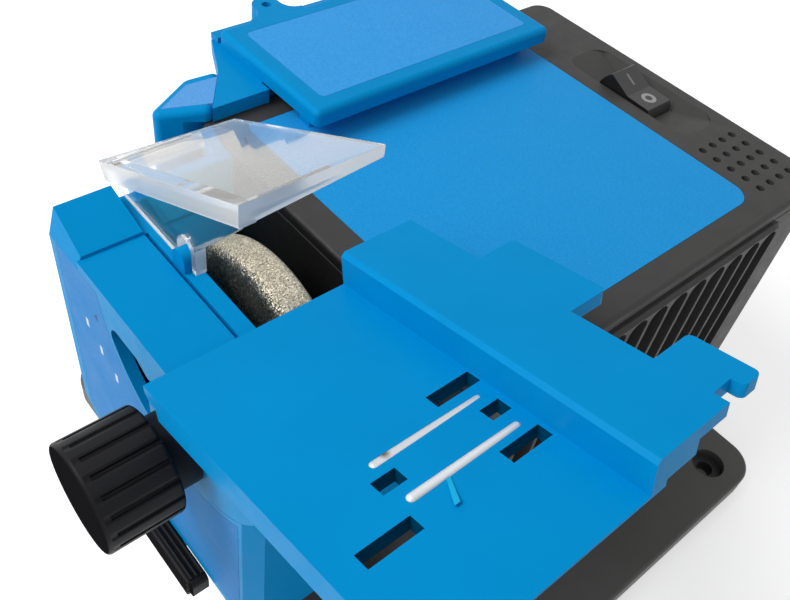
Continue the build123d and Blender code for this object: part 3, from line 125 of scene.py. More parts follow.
# Places of the part, in millimetres and degrees
SPINDLE_Z = joint_place("wheel_spin")[2]
_, TILT_Y, TILT_Z = joint_place("table_tilt")
TABLE_SLOPE = 13.3
TABLE_BACK_AHEAD = 0.3
TABLE_TOP_ABOVE = 3.0
_, STUD_Y, STUD_Z = joint_place("knob_turn")
ROCKER_X, ROCKER_Y, ROCKER_Z = joint_place("rocker_rock")
ROCKER_MIDDLE_Z = 101.5
ROCKER_TURN = 14.0
ROCKER_VEE = 12.0
SIDE_FACE_X = -83.9
BENCH_HOLE = (62.0, 65.0, 4.0)
BACK_WALL_Y = (20.0, 40.0)
VISOR_SLOPE = 26.67
VISOR_RIM_X = -68.2
KNOB_FLUTES = 18
FLUTE_X = (-103.3, -89.3)
SLOT_AREA_X = (-86.5, -47.6)
SLOT_AREA_Y = (-80.0, -40.0)
LATCH_X0 = -87.8
LATCH_X1 = -83.9
LATCH_TOP_Z = 37.5
LATCH_HALF_LEN = 17.5
SHELF_TOP_Z = 104.6
SHELF_FRONT = (-39.4, 46.4)
SHELF_BACK = (-30.3, 58.4)
NOSE_FALL = 8.0

# Noise in cells per metre, shares of a mean value, and bumps with their depth in millimetres
NOISE_SPAN = (0.3, 0.7)
NO_STRETCH = (1.0, 1.0, 1.0)
TONE_CELLS = 55.0
SHEEN_CELLS = 240.0
PLASTIC_SHEEN = (0.88, 1.12)
WARP_CELLS = 30.0
WARP_STRENGTH = 0.15
WARP_DEPTH = 0.1
METAL_TONES = (0.82, 1.1)
METAL_SHEEN = (0.75, 1.25)
METAL_STRENGTH = 0.4
DRAWN_ALONG_X = (0.02, 1.0, 1.0)
STACKED_ALONG_X = (1.0, 0.02, 0.02)
WOUND_ROUND_X = (1.0, 0.05, 0.05)
FILM_CELLS = 2600.0
FILM_TONES = (0.88, 1.12)
FILM_PATCHES = 130.0
FILM_SHEEN = (0.85, 1.15)
FILM_STRENGTH = 0.25
FILM_DEPTH = 0.015

# Wheel grit
GRIT_CELLS = 4400.0
GRIT_SPECKLE = 0.5
GRIT_PAINTED_SHADE_SPAN = (0.38, 0.62)
GRIT_METAL = (0.0, 0.6)
GRIT_ROUGHNESS = (0.18, 0.6)
GRIT_LUMPS = 420.0
LUMP_STRENGTH = 0.4
LUMP_DEPTH = 0.15
GRAIN_STRENGTH = 1.0
GRAIN_EDGE_STRENGTH = 0.9
GRAIN_DEPTH = 0.1

# Clear visor
CLEAR_IOR = 1.49
CLEAR_SPAN = (0.5, 0.9)
CLEAR_THROUGH = (0.52, 0.88)
WALL_THROUGH_MORE = 0.47
CLEAR_ROUGHNESS = (0.25, 0.045)
SHADOW_PASS = 0.97
RIPPLE_CELLS = 70.0
RIPPLE_STRENGTH = 0.12
RIPPLE_DEPTH = 0.1

# Painted shade and light laid over the materials, and a stain, with places and reaches in millimetres
LOOKS_FRONT = (-1.1, -0.7)
LOOKS_SIDEWAYS = (-0.5, 0.5)
DULL_SPAN = (0.05, 0.4)
# Painted shade on the housing's end wall near the wheel
END_WALL_SHADE_MIDDLE = (-45.0, 0.0, SPINDLE_Z)
END_WALL_SHADE_REACH = (34.0, 42.0)
END_WALL_SHADE_SPAN = (0.1, 0.3)
END_WALL_SHADE = 0.15
# Painted shade in the bench holes
HOLE_REACH = (4.6, 5.8)
HOLE_SHADE = 0.35
SWITCH_SIDE_SHADE = 0.2
SWITCH_SIDE_SPAN = (0.1, 0.4)
FLUTE_SHADE = 0.35
FLUTE_SPAN = (0.0, 0.9)
FLUTE_STRENGTH = 1.0
FLUTE_DEPTH = 0.35
SLOT_SHADE = 0.2
STAIN_PLACE = (-69.9, 38.6, 0.4)
STAIN_REACH = (0.3, 1.2)

# Softened edges of the moulded pieces, in millimetres and degrees
SOFT_EDGES = {"head_frame": 0.3, "side_cover": 0.35, "tilt_table": 0.3, "knife_head": 0.3, "visor": 0.2,
              "head_latch": 0.2, "motor_housing": 0.25, "top_cover": 0.2, "switch_body": 0.2, "rocker": 0.15}
WELD_GAP = 0.002
BEVEL_ANGLE = 32.0
BEVEL_SEGMENTS = 2

# Added pieces, in millimetres
PRINT_LIFT = 0.03
PRINT_DEPTH = 0.05
ON_MARK_HALF = 0.35
ON_MARK_ALONG = (2.0, 5.4)
OFF_MARK_ALONG = -3.4
OFF_MARK_RADIUS = 2.0
OFF_MARK_WIDTH = 1.0
OFF_MARK_STEPS = 40
SCALE_MARKS = ((23.9, 81.6), (19.0, 77.4), (13.5, 73.8))
SCALE_MARK_HALF_W = 0.5
SCALE_MARK_HALF_H = 1.2
POINTER = ((18.0, 87.0), (19.6, 87.6), (18.2, 89.0))
RIDGES = 3
RIDGE_GAP = 0.08
RIDGE_H = 0.8
RIDGE_SINK = 0.1
RIDGE_STEPS = 10
NOSE_FILM = ((2.0, 0.0), (0.6, 11.5), (9.8, 7.0), (12.9, 0.0))
NOSE_FILM_DEPTH = 1.7
NOSE_FILM_LIFT = 0.08
CURL_ENDS = ((-66.0, 48.3), (-68.6, 52.9))
CURL_WIDTHS = (0.8, 1.1)
CURL_T = 0.2
CURL_RISE = 0.5
CURL_STEPS = 8


# Shader nodes
def add_node(tree, kind, **settings):
    """Adds a node and sets its inputs and properties by name, with a low line for a space."""
    made = tree.nodes.new(kind)
    for key, value in settings.items():
        socket = key.replace("_", " ")
        if socket in made.inputs:
            made.inputs[socket].default_value = value
        else:
            setattr(made, key, value)
    return made


def feed(tree, socket, value):
    """Links an output to an input, or sets a plain value there."""
    if isinstance(value, bpy.types.NodeSocket):
        tree.links.new(value, socket)
    else:
        socket.default_value = value


def give(tree, name, value):
    """Links or sets one of the shader's inputs."""
    feed(tree, tree.nodes[SHADER].inputs[name], value)


def compute(tree, operation, *values):
    """Result of a math operation on outputs and numbers."""
    made = add_node(tree, "ShaderNodeMath", operation=operation)
    for socket, value in zip(made.inputs, values):
        feed(tree, socket, value)
    return made.outputs["Value"]


def product(tree, *factors):
    """Several values multiplied together."""
    total = factors[0]
    for factor in factors[1:]:
        total = compute(tree, "MULTIPLY", total, factor)
    return total


def ramp(tree, factor, low, high, start=0.0, end=1.0):
    """Colour or grey that runs from low to high as the factor goes from start to end."""
    made = add_node(tree, "ShaderNodeValToRGB")
    for element, position, colour in zip(made.color_ramp.elements, (start, end), (low, high)):
        element.position = position
        element.color = (*colour, 1.0) if hasattr(colour, "__len__") else (colour, colour, colour, 1.0)
    tree.links.new(factor, made.inputs["Fac"])
    return made.outputs["Color"]


def noise(tree, cells, detail=2.0, stretch=NO_STRETCH):
    """Noise over the piece's own place, with cells per metre."""
    place = add_node(tree, "ShaderNodeTexCoord")
    mapping = add_node(tree, "ShaderNodeMapping", Scale=stretch)
    made = add_node(tree, "ShaderNodeTexNoise", Scale=cells, Detail=detail)
    tree.links.new(place.outputs["Object"], mapping.inputs["Vector"])
    tree.links.new(mapping.outputs["Vector"], made.inputs["Vector"])
    return made.outputs["Fac"]


def scaled(value, factor):
    """Colour or number times a factor, one at most."""
    if hasattr(value, "__len__"):
        return tuple(min(1.0, part * factor) for part in value)
    return min(1.0, value * factor)


def uneven(tree, pattern, mean, shares):
    """Colour or number that varies between two shares of a mean with a noise pattern."""
    low, high = shares
    return ramp(tree, pattern, scaled(mean, low), scaled(mean, high), *NOISE_SPAN)


def add_bump(tree, height, strength, depth):
    """Lays another bump over what the shader already has, with its depth in millimetres."""
    made = add_node(tree, "ShaderNodeBump", Strength=strength, Distance=depth * MM)
    tree.links.new(height, made.inputs["Height"])
    before = tree.nodes[SHADER].inputs["Normal"].links
    if before:
        tree.links.new(before[0].from_socket, made.inputs["Normal"])
    give(tree, "Normal", made.outputs["Normal"])


# Masks
def coordinate(tree, kind, axis):
    """One axis of a point's place, for the kind Object, or of its facing, for the kind Normal."""
    place = add_node(tree, "ShaderNodeTexCoord")
    axes = add_node(tree, "ShaderNodeSeparateXYZ")
    tree.links.new(place.outputs[kind], axes.inputs["Vector"])
    return axes.outputs[axis]


def facing_right(tree):
    """Nought where a face looks left, one where it looks right and half where it looks neither way."""
    return compute(tree, "MULTIPLY_ADD", coordinate(tree, "Normal", "X"), 0.5, 0.5)


def facing_out(tree, slope):
    """One on the top of a plate that slopes, minus one on its underside and nought on its edges."""
    place = add_node(tree, "ShaderNodeTexCoord")
    made = add_node(tree, "ShaderNodeVectorMath", operation="DOT_PRODUCT")
    lean = math.radians(slope)
    tree.links.new(place.outputs["Normal"], made.inputs[0])
    made.inputs[1].default_value = (0.0, math.sin(lean), math.cos(lean))
    return made.outputs["Value"]


def within(tree, value, low, high):
    """One where the value lies between low and high, else nought."""
    over = compute(tree, "GREATER_THAN", value, low)
    under = compute(tree, "LESS_THAN", value, high)
    return product(tree, over, under)


def placed(tree, axis, limits):
    """One where a point's place along an axis lies between limits in millimetres."""
    low, high = limits
    return within(tree, coordinate(tree, "Object", axis), low * MM, high * MM)


def nearness(tree, point, reach, mirrored=False):
    """One near a point, fading to nought between two distances, also at its mirror images if mirrored."""
    near, far = reach
    place = add_node(tree, "ShaderNodeTexCoord").outputs["Object"]
    if mirrored:
        size = add_node(tree, "ShaderNodeVectorMath", operation="ABSOLUTE")
        tree.links.new(place, size.inputs[0])
        place = size.outputs["Vector"]
    away = add_node(tree, "ShaderNodeVectorMath", operation="DISTANCE")
    away.inputs[1].default_value = Vector(point) * MM
    tree.links.new(place, away.inputs[0])
    level = add_node(tree, "ShaderNodeMapRange", From_Min=near * MM, From_Max=far * MM,
                     To_Min=1.0, To_Max=0.0)
    tree.links.new(away.outputs["Value"], level.inputs["Value"])
    return level.outputs["Result"]


# Points on the part
def turned_about_x(y, z, degrees, pivot_y, pivot_z):
    """Place (y, z) turned about a line along X through the pivot."""
    turn = math.radians(degrees)
    dy, dz = y - pivot_y, z - pivot_z
    return (pivot_y + dy * math.cos(turn) - dz * math.sin(turn),
            pivot_z + dy * math.sin(turn) + dz * math.cos(turn))


def table_point(x, forward, lift):
    """Point on the sloped table, forward of its back edge and lifted off its top."""
    y, z = TILT_Y - TABLE_BACK_AHEAD - forward, TILT_Z + TABLE_TOP_ABOVE + lift
    return Vector((x, *turned_about_x(y, z, -TABLE_SLOPE, TILT_Y, TILT_Z))) * MM


def rocker_point(x, along, lift):
    """Point on the rocker's top, along it from its middle and lifted off its face."""
    y, z = ROCKER_Y + along, ROCKER_MIDDLE_Z + abs(along) * math.tan(math.radians(ROCKER_VEE)) + lift
    return Vector((ROCKER_X + x, *turned_about_x(y, z, ROCKER_TURN, ROCKER_Y, ROCKER_Z))) * MM


def side_point(y, z, lift):
    """Point on the head's left face, lifted off it."""
    return Vector((SIDE_FACE_X - lift, y, z)) * MM


# Kinds of material
def new_material(name, **sockets):
    """Material whose shader has plain values in some inputs, named with a low line for a space."""
    material = bpy.data.materials.new(name)
    material.use_nodes = True
    for key, value in sockets.items():
        give(material.node_tree, key.replace("_", " "), value)
    return material


def moulded(name, colour, roughness, spread=0.05, grain=2500.0, depth=0.02, strength=0.35, **sockets):
    """Moulded plastic: uneven tone, patchy sheen and a fine spark-eroded grain."""
    material = new_material(name, **sockets)
    tree = material.node_tree
    tone = noise(tree, TONE_CELLS, detail=4.0)
    give(tree, "Base Color", uneven(tree, tone, colour, (1 - spread, 1 + spread)))
    sheen = noise(tree, SHEEN_CELLS, detail=5.0)
    give(tree, "Roughness", uneven(tree, sheen, roughness, PLASTIC_SHEEN))
    add_bump(tree, noise(tree, WARP_CELLS, detail=1.0), WARP_STRENGTH, WARP_DEPTH)
    add_bump(tree, noise(tree, grain, detail=3.0), strength, depth)
    return material


def metal(name, colour, roughness, stretch=NO_STRETCH, cells=900.0, depth=0.01, bare=1.0):
    """Metal with drawn or turned marks along the squeezed direction of stretch."""
    material = new_material(name, Metallic=bare)
    tree = material.node_tree
    marks = noise(tree, cells, detail=4.0, stretch=stretch)
    give(tree, "Base Color", uneven(tree, marks, colour, METAL_TONES))
    give(tree, "Roughness", uneven(tree, marks, roughness, METAL_SHEEN))
    add_bump(tree, marks, METAL_STRENGTH, depth)
    return material


def film(name, colour, roughness, gloss=0.06):
    """Printed label film: fine grain under a thin gloss."""
    material = new_material(name, Specular_IOR_Level=gloss)
    tree = material.node_tree
    grain = noise(tree, FILM_CELLS, detail=4.0)
    give(tree, "Base Color", uneven(tree, grain, colour, FILM_TONES))
    give(tree, "Roughness", uneven(tree, noise(tree, FILM_PATCHES, detail=3.0), roughness, FILM_SHEEN))
    add_bump(tree, grain, FILM_STRENGTH, FILM_DEPTH)
    return material


def grit(name):
    """Coarse bright grains bonded to a metal rim, with painted shade, speckled, where the wheel looks left.
    """
    material = new_material(name)
    tree = material.node_tree
    place = add_node(tree, "ShaderNodeTexCoord")
    grains = add_node(tree, "ShaderNodeTexVoronoi", Scale=GRIT_CELLS, Randomness=1.0)
    tree.links.new(place.outputs["Object"], grains.inputs["Vector"])
    chance = add_node(tree, "ShaderNodeSeparateColor")
    tree.links.new(grains.outputs["Color"], chance.inputs["Color"])
    tone, height, polish = (chance.outputs[part] for part in ("Red", "Green", "Blue"))
    speckled = compute(tree, "MULTIPLY_ADD", height, GRIT_SPECKLE, facing_right(tree))
    give(tree, "Base Color", ramp(tree, tone, GRIT_DARK, GRIT_PALE))
    # Painted shade: the grains darken where the wheel looks left, speckled by their height
    shaded(material, ramp(tree, speckled, GRIT_PAINTED_SHADE, WHITE, *GRIT_PAINTED_SHADE_SPAN))
    give(tree, "Metallic", ramp(tree, height, *GRIT_METAL))
    give(tree, "Roughness", ramp(tree, polish, *GRIT_ROUGHNESS))
    add_bump(tree, noise(tree, GRIT_LUMPS, detail=3.0), LUMP_STRENGTH, LUMP_DEPTH)
    add_bump(tree, height, GRAIN_STRENGTH, GRAIN_DEPTH)
    add_bump(tree, grains.outputs["Distance"], GRAIN_EDGE_STRENGTH, GRAIN_DEPTH)
    return material


def clear_plastic(name):
    """Clear moulded plastic with frosted edges, a slightly milky plate and faint flow ripples."""
    material = new_material(name, IOR=CLEAR_IOR)
    tree = material.node_tree
    inside = compute(tree, "GREATER_THAN", coordinate(tree, "Object", "X"), VISOR_RIM_X * MM)
    flank = compute(tree, "ABSOLUTE", coordinate(tree, "Normal", "X"))
    wall = ramp(tree, product(tree, flank, inside), 0.0, 1.0, *CLEAR_SPAN)
    plate = ramp(tree, compute(tree, "ABSOLUTE", facing_out(tree, VISOR_SLOPE)), 0.0, 1.0, *CLEAR_SPAN)
    through = compute(tree, "MULTIPLY_ADD", wall, WALL_THROUGH_MORE, ramp(tree, plate, *CLEAR_THROUGH))
    give(tree, "Base Color", ramp(tree, wall, CLEAR_REST, CLEAR_WALL))
    give(tree, "Transmission Weight", through)
    give(tree, "Roughness", ramp(tree, compute(tree, "MAXIMUM", wall, plate), *CLEAR_ROUGHNESS))
    path = add_node(tree, "ShaderNodeLightPath")
    lighting = compute(tree, "MAXIMUM", path.outputs["Is Shadow Ray"], path.outputs["Is Diffuse Ray"])
    give(tree, "Alpha", compute(tree, "MULTIPLY_ADD", lighting, -SHADOW_PASS, 1.0))
    add_bump(tree, noise(tree, RIPPLE_CELLS), RIPPLE_STRENGTH, RIPPLE_DEPTH)
    return material


# Painted shade and light, sheen and a stain over a material
def shaded(material, shade):
    """Multiplies a material's colour by a shade."""
    tree = material.node_tree
    colour = tree.nodes[SHADER].inputs["Base Color"]
    made = add_node(tree, "ShaderNodeMixRGB", blend_type="MULTIPLY", Fac=1.0)
    tree.links.new(colour.links[0].from_socket, made.inputs["Color1"])
    tree.links.new(shade, made.inputs["Color2"])
    tree.links.new(made.outputs["Color"], colour)


def matt(material, mask):
    """Takes the sheen off a material where the mask is one."""
    tree = material.node_tree
    sheen = tree.nodes[SHADER].inputs["Specular IOR Level"]
    tree.links.new(ramp(tree, mask, sheen.default_value, 0.0), sheen)


def dull_left(material):
    """Takes the sheen off the faces that look left, as painted shade."""
    tree = material.node_tree
    matt(material, ramp(tree, facing_right(tree), 1.0, 0.0, *DULL_SPAN))


def shade_left_faces(material):
    """Painted shade on the faces that look left."""
    tree = material.node_tree
    shaded(material, ramp(tree, facing_right(tree), SWITCH_SIDE_SHADE, 1.0, *SWITCH_SIDE_SPAN))


def shade_end_wall(material):
    """Painted shade that darkens the housing's end wall around the wheel, on the faces that look left."""
    tree = material.node_tree
    looks_left = ramp(tree, facing_right(tree), 1.0, 0.0, *END_WALL_SHADE_SPAN)
    wall_shade = product(tree, nearness(tree, END_WALL_SHADE_MIDDLE, END_WALL_SHADE_REACH), looks_left)
    shaded(material, ramp(tree, wall_shade, 1.0, END_WALL_SHADE))


def shade_holes(material):
    """Painted shade in the four bench holes."""
    tree = material.node_tree
    hole = nearness(tree, BENCH_HOLE, HOLE_REACH, mirrored=True)
    shaded(material, ramp(tree, hole, 1.0, HOLE_SHADE))


def lit_wall(material):
    """Painted light: a paler inner face on the back wall of the wheel's chamber."""
    tree = material.node_tree
    looks_front = within(tree, coordinate(tree, "Normal", "Y"), *LOOKS_FRONT)
    inner = product(tree, looks_front, placed(tree, "Y", BACK_WALL_Y))
    shaded(material, ramp(tree, inner, WHITE, BACK_WALL_PAINTED_LIGHT))


def fluted(material):
    """Widens the knob's flutes with painted shade and a hollow bump in bands around its axis."""
    tree = material.node_tree
    across = compute(tree, "SUBTRACT", coordinate(tree, "Object", "Y"), STUD_Y * MM)
    above = compute(tree, "SUBTRACT", coordinate(tree, "Object", "Z"), STUD_Z * MM)
    turns = product(tree, compute(tree, "ARCTAN2", across, above), KNOB_FLUTES)
    hollow = product(tree, compute(tree, "COSINE", turns), placed(tree, "X", FLUTE_X))
    # Painted shade in the flutes
    shaded(material, ramp(tree, hollow, 1.0, FLUTE_SHADE, *FLUTE_SPAN))
    add_bump(tree, ramp(tree, hollow, 1.0, 0.0), FLUTE_STRENGTH, FLUTE_DEPTH)


def shade_slots(material):
    """Painted shade and no sheen on the walls of the slots that run through the table beside the rods."""
    tree = material.node_tree
    upright = within(tree, facing_out(tree, TABLE_SLOPE), *LOOKS_SIDEWAYS)
    wall = product(tree, placed(tree, "X", SLOT_AREA_X), placed(tree, "Y", SLOT_AREA_Y), upright)
    shaded(material, ramp(tree, wall, 1.0, SLOT_SHADE))
    matt(material, wall)


def stained(material):
    """Small burnt spot near the end of the upper rod."""
    tree = material.node_tree
    stain = nearness(tree, table_point(*STAIN_PLACE) / MM, STAIN_REACH)
    shaded(material, ramp(tree, stain, WHITE, STAIN_BROWN))


def variant(material, name, change):
    """Copy of a material with one change made to it."""
    made = material.copy()
    made.name = name
    change(made)
    return made


# Blue plastic
blue = moulded("blue_plastic", BLUE, roughness=0.40, spread=0.03, depth=0.012, strength=0.25,
               Specular_IOR_Level=0.04)
frame_blue = variant(blue, "frame_plastic", lit_wall)
# Painted shade on the walls of the table's slots
table_blue = variant(blue, "table_plastic", shade_slots)
curl_blue = moulded("curl_blue", CURL_BLUE, roughness=0.35, Specular_IOR_Level=0.2)

# Black plastic and rubber
housing = moulded("housing_plastic", HOUSING_GREY, roughness=0.5, spread=0.08, grain=3000.0, depth=0.03,
                  strength=0.5, Specular_IOR_Level=0.2)
# Painted shade on the housing's end wall beside the wheel
shade_end_wall(housing)
base = moulded("base_plastic", BASE_GREY, roughness=0.48, spread=0.08, grain=2600.0, depth=0.03,
               strength=0.5, Specular_IOR_Level=0.22)
# Painted shade in the bench holes of the base
shade_holes(base)
knob_plastic = moulded("knob_plastic", KNOB_BLACK, roughness=0.45, spread=0.1, grain=3500.0,
                       Specular_IOR_Level=0.14)
# Painted shade: the knob's faces that look left lose their sheen
dull_left(knob_plastic)
knob_fluted = variant(knob_plastic, "knob_fluted", fluted)
switch_plastic = moulded("switch_plastic", SWITCH_BLACK, roughness=0.34, spread=0.06, grain=4000.0,
                         strength=0.2, Specular_IOR_Level=0.2)
# Painted shade on the switch's faces that look left
shade_left_faces(switch_plastic)
rubber = moulded("black_rubber", RUBBER_BLACK, roughness=0.75, spread=0.12, grain=1800.0, depth=0.04)

# Labels and marks
label_film = film("label_film", LABEL_BLUE, roughness=0.4)
parked_film = film("parked_label_film", PARKED_LABEL_BLUE, roughness=0.4)
side_film = film("side_label_film", SIDE_LABEL_BLUE, roughness=0.5, gloss=0.03)
nose_film = film("nose_label_film", NOSE_LABEL_BLUE, roughness=0.3)
mark_white = moulded("mark_white", MARK_WHITE, roughness=0.5, spread=0.03, grain=5000.0, strength=0.1)
mark_grey = moulded("mark_grey", MARK_GREY, roughness=0.5, grain=5000.0, strength=0.1)
mark_dim = moulded("mark_dim", MARK_DIM, roughness=0.5, grain=5000.0, strength=0.1)
pointer_blue = moulded("pointer_blue", POINTER_BLUE, roughness=0.5, Specular_IOR_Level=0.12)

# Steel, motor, wheel and visor
rod_steel = metal("drawn_steel", ROD_STEEL, roughness=0.42, stretch=DRAWN_ALONG_X, bare=0.35)
stained(rod_steel)
turned_steel = metal("turned_steel", STEEL, roughness=0.32)
die_cast = metal("die_cast", DIE_CAST, roughness=0.45, cells=500.0, depth=0.03)
lamination = metal("lamination", LAMINATION, roughness=0.5, stretch=STACKED_ALONG_X, cells=1800.0)
copper = metal("copper_wire", COPPER, roughness=0.32, stretch=WOUND_ROUND_X, cells=1500.0)
brass = metal("turned_brass", BRASS, roughness=0.3)
motor_moulding = moulded("motor_moulding", MOTOR_GREY, roughness=0.5, spread=0.08)
carbon = moulded("pressed_carbon", CARBON, roughness=0.6, spread=0.15)
wheel_grit = grit("wheel_grit")
clear = clear_plastic("clear_plastic")

# Materials of the part's own pieces
FINISH = {
    blue: ["side_cover", "knife_head"],
    frame_blue: ["head_frame"],
    table_blue: ["tilt_table"],
    housing: ["motor_housing", "top_cover"],
    base: ["base_plate"],
    knob_fluted: ["clamp_knob"],
    knob_plastic: ["head_latch"],
    switch_plastic: ["switch_body", "rocker"],
    label_film: ["top_label"],
    parked_film: ["knife_head_label"],
    side_film: ["scale_label"],
    clear: ["visor"],
    rubber: ["rubber_feet", "cord_gland"],
    motor_moulding: ["motor_cradle", "cooling_fan", "brush_holders"],
    die_cast: ["front_bearing_plate", "rear_bearing_plate", "wheel_flange"],
    turned_steel: ["base_screws", "plate_screws", "side_screws", "front_bearing", "rear_bearing",
                   "motor_shaft", "wheel_nut", "clamp_stud", "visor_pin"],
    rod_steel: ["wear_rods"],
    lamination: ["field_core", "armature_core"],
    copper: ["field_coils", "armature_winding", "commutator"],
    carbon: ["carbon_brushes"],
    brass: ["knob_insert"],
    wheel_grit: ["grinding_wheel"],
}
for material, names in FINISH.items():
    for name in names:
        NODES[name].data.materials.clear()
        NODES[name].data.materials.append(material)


# Softened edges
def soften(piece, width):
    """Rounds a piece's sharp edges a little, as a mould does."""
    weld = piece.modifiers.new("weld", "WELD")
    weld.merge_threshold = WELD_GAP * MM
    bevel = piece.modifiers.new("bevel", "BEVEL")
    bevel.width = width * MM
    bevel.segments = BEVEL_SEGMENTS
    bevel.limit_method = "ANGLE"
    bevel.angle_limit = math.radians(BEVEL_ANGLE)
    bevel.use_clamp_overlap = True
    bevel.harden_normals = True
    piece.modifiers.new("normals", "WEIGHTED_NORMAL").keep_sharp = True


for name, width in SOFT_EDGES.items():
    soften(NODES[name], width)


# Added pieces
def in_scene(name, data):
    """New object in the scene."""
    made = bpy.data.objects.new(name, data)
    bpy.context.scene.collection.objects.link(made)
    return made


def solid(name, forms, material, body, looped=False):
    """Piece of closed forms, each through rings of points and looped back or filled at its ends."""
    mesh = bmesh.new()
    for rings in forms:
        rows = [[mesh.verts.new(point) for point in ring] for ring in rings]
        for near, far in zip(rows, rows[1:] + (rows[:1] if looped else [])):
            for n in range(len(near)):
                m = (n + 1) % len(near)
                mesh.faces.new([near[n], near[m], far[m], far[n]])
        if not looped:
            mesh.faces.new(rows[0])
            mesh.faces.new(rows[-1])
    bmesh.ops.recalc_face_normals(mesh, faces=mesh.faces)
    data = bpy.data.meshes.new(name)
    mesh.to_mesh(data)
    mesh.free()
    made = in_scene(name, data)
    made.data.materials.append(material)
    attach(made, body)


def bar(x0, x1, y0, y1):
    """Corners of a rectangle."""
    return [(x0, y0), (x1, y0), (x1, y1), (x0, y1)]


def mark(outline, place):
    """Thin closed form with the outline's shape, just proud of a face."""
    return [[place(*point, lift) for point in outline] for lift in (-PRINT_DEPTH, PRINT_LIFT)]


def ring_mark(x, y, radius, width, steps, place):
    """Thin closed ring just proud of a face, as its sections in turn."""
    sections = []
    for n in range(steps):
        turn = 2 * math.pi * n / steps
        inner, outer = [(x + r * math.cos(turn), y + r * math.sin(turn)) for r in (radius - width, radius)]
        sections.append([place(*inner, -PRINT_DEPTH), place(*outer, -PRINT_DEPTH),
                         place(*outer, PRINT_LIFT), place(*inner, PRINT_LIFT)])
    return sections


def switch_marks():
    """The I and O on the rocker."""
    on_bar = bar(-ON_MARK_HALF, ON_MARK_HALF, *ON_MARK_ALONG)
    off_ring = ring_mark(0.0, OFF_MARK_ALONG, OFF_MARK_RADIUS, OFF_MARK_WIDTH, OFF_MARK_STEPS, rocker_point)
    solid("mark_on", [mark(on_bar, rocker_point)], mark_dim, "switch_rocker")
    solid("mark_off", [off_ring], mark_grey, "switch_rocker", looped=True)


def side_marks():
    """Three ticks and a pointer on the side label."""
    ticks = [bar(y - SCALE_MARK_HALF_W, y + SCALE_MARK_HALF_W, z - SCALE_MARK_HALF_H, z + SCALE_MARK_HALF_H)
             for y, z in SCALE_MARKS]
    forms = [mark(tick, side_point) for tick in ticks]
    solid("scale_marks", forms, mark_white, "sharpening_head")
    solid("scale_pointer", [mark(POINTER, side_point)], pointer_blue, "sharpening_head")


def latch_ridges():
    """Three rounded grip ridges along the latch's top."""
    width = (LATCH_X1 - LATCH_X0) / RIDGES
    half = width / 2 - RIDGE_GAP
    foot_z = LATCH_TOP_Z - RIDGE_SINK
    turns = [math.pi * n / RIDGE_STEPS for n in range(RIDGE_STEPS + 1)]
    for n in range(RIDGES):
        x = LATCH_X0 + width * (n + 0.5)
        arch = [(x + half * math.cos(turn), foot_z + RIDGE_H * math.sin(turn)) for turn in turns]
        rings = [[Vector((px, y, pz)) * MM for px, pz in arch] for y in (-LATCH_HALF_LEN, LATCH_HALF_LEN)]
        solid(f"latch_ridge_{n + 1}", [rings], knob_plastic, "latch")


def nose_label():
    """Film over the top of the parked head's nose, flush with the shelf behind it."""
    front, back = Vector(SHELF_FRONT), Vector(SHELF_BACK)
    along = (back - front).normalized()
    across = Vector((-along.y, along.x))
    fall = math.tan(math.radians(NOSE_FALL))
    rings = []
    for lift in (-NOSE_FILM_DEPTH, NOSE_FILM_LIFT):
        corners = [(front + along * a + across * b, SHELF_TOP_Z - b * fall + lift) for a, b in NOSE_FILM]
        rings.append([Vector((spot.x, spot.y, z)) * MM for spot, z in corners])
    solid("nose_label", [rings], nose_film, "parked_head")


def table_curl():
    """Thin tongue of plastic that stands off the table beside the rods."""
    start, end = (Vector(spot) for spot in CURL_ENDS)
    narrow, wide = CURL_WIDTHS
    rings = []
    for n in range(CURL_STEPS + 1):
        t = n / CURL_STEPS
        x, forward = start.lerp(end, t)
        half = (narrow + (wide - narrow) * t) / 2
        under = CURL_RISE * t * t
        section = bar(x - half, x + half, under, under + CURL_T)
        rings.append([table_point(px, forward, lift) for px, lift in section])
    solid("table_curl", [rings], curl_blue, "table")


switch_marks()
side_marks()
latch_ridges()
nose_label()
table_curl()


# Floor, light and camera
def backdrop_ray(tree):
    """One for a ray that shows the backdrop: seen directly, in a reflection or through the visor."""
    path = add_node(tree, "ShaderNodeLightPath")
    seen = path.outputs["Is Camera Ray"]
    for kind in ("Is Glossy Ray", "Is Transmission Ray"):
        seen = compute(tree, "MAXIMUM", seen, path.outputs[kind])
    return seen


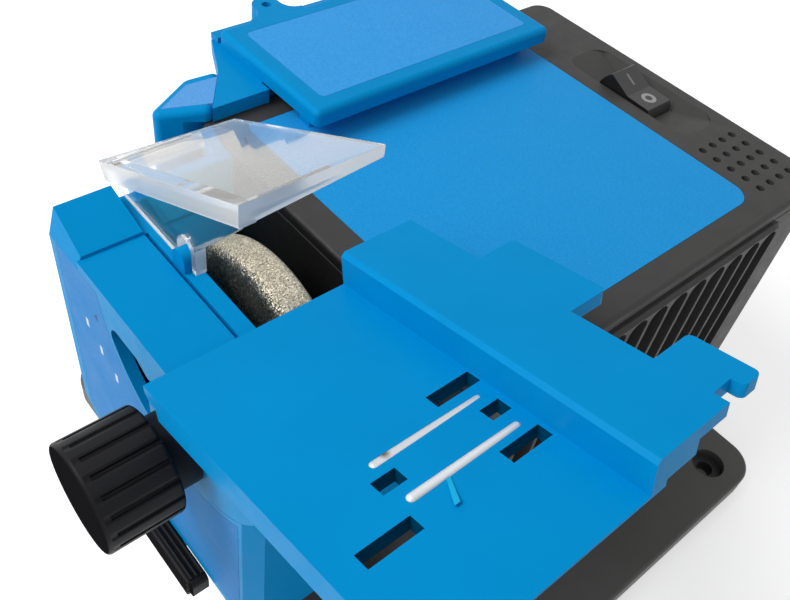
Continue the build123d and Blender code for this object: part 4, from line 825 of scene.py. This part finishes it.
def pale_floor():
    """Pale floor that shows near white around the base and keeps the shadow."""
    material = new_material("floor", Roughness=FLOOR_ROUGHNESS, Specular_IOR_Level=0.0,
                            Emission_Color=(*WHITE, 1.0))
    tree = material.node_tree
    give(tree, "Base Color", ramp(tree, noise(tree, FLOOR_CELLS), *FLOOR_TONES, *NOISE_SPAN))
    sizes = [compute(tree, "ABSOLUTE", coordinate(tree, "Object", axis)) for axis in "XY"]
    outside = compute(tree, "GREATER_THAN", compute(tree, "MAXIMUM", *sizes), GLOW_STARTS)
    give(tree, "Emission Strength", product(tree, backdrop_ray(tree), FLOOR_GLOW, outside))
    return material


def add_floor():
    """Square floor under the feet."""
    half = FLOOR_SIZE / 2
    corners = [(x, y, FLOOR_Z) for x, y in bar(-half, half, -half, half)]
    mesh = bpy.data.meshes.new("floor")
    mesh.from_pydata(corners, [], [(0, 1, 2, 3)])
    made = in_scene("floor", mesh)
    made.data.materials.append(pale_floor())


def white_world():
    """Even light, with plain white where the backdrop shows past the floor."""
    world = bpy.data.worlds.new("studio")
    bpy.context.scene.world = world
    world.use_nodes = True
    tree = world.node_tree
    back = tree.nodes["Background"]
    back.inputs["Color"].default_value = (*WHITE, 1.0)
    level = add_node(tree, "ShaderNodeMapRange", To_Min=WORLD_LIGHT, To_Max=1.0)
    tree.links.new(backdrop_ray(tree), level.inputs["Value"])
    tree.links.new(level.outputs["Result"], back.inputs["Strength"])


def area_light(name, place, target, size, power):
    """Round soft lamp that points at a target."""
    data = bpy.data.lights.new(name, "AREA")
    data.shape = "DISK"
    data.size = size
    data.energy = power
    lamp = in_scene(name, data)
    lamp.location = place
    lamp.rotation_euler = (Vector(target) - Vector(place)).to_track_quat("-Z", "Y").to_euler()


def add_camera():
    """Camera where the photo was taken from."""
    data = bpy.data.cameras.new("camera")
    data.sensor_fit = "HORIZONTAL"
    data.sensor_width = SENSOR_WIDTH
    data.lens = FOCAL_PIXELS / IMAGE_WIDTH * SENSOR_WIDTH
    data.clip_start = CLIP_START
    camera = in_scene("camera", data)
    turn = Matrix((CAMERA_RIGHT, CAMERA_UP, CAMERA_RIGHT.cross(CAMERA_UP))).transposed()
    camera.matrix_world = Matrix.Translation(CAMERA_PLACE) @ turn.to_4x4()
    bpy.context.scene.camera = camera


add_floor()
white_world()
area_light("key", KEY_PLACE, KEY_TARGET, KEY_SIZE, KEY_POWER)
area_light("fill", FILL_PLACE, FILL_TARGET, FILL_SIZE, FILL_POWER)
add_camera()
bpy.context.scene.view_settings.view_transform = "Standard"
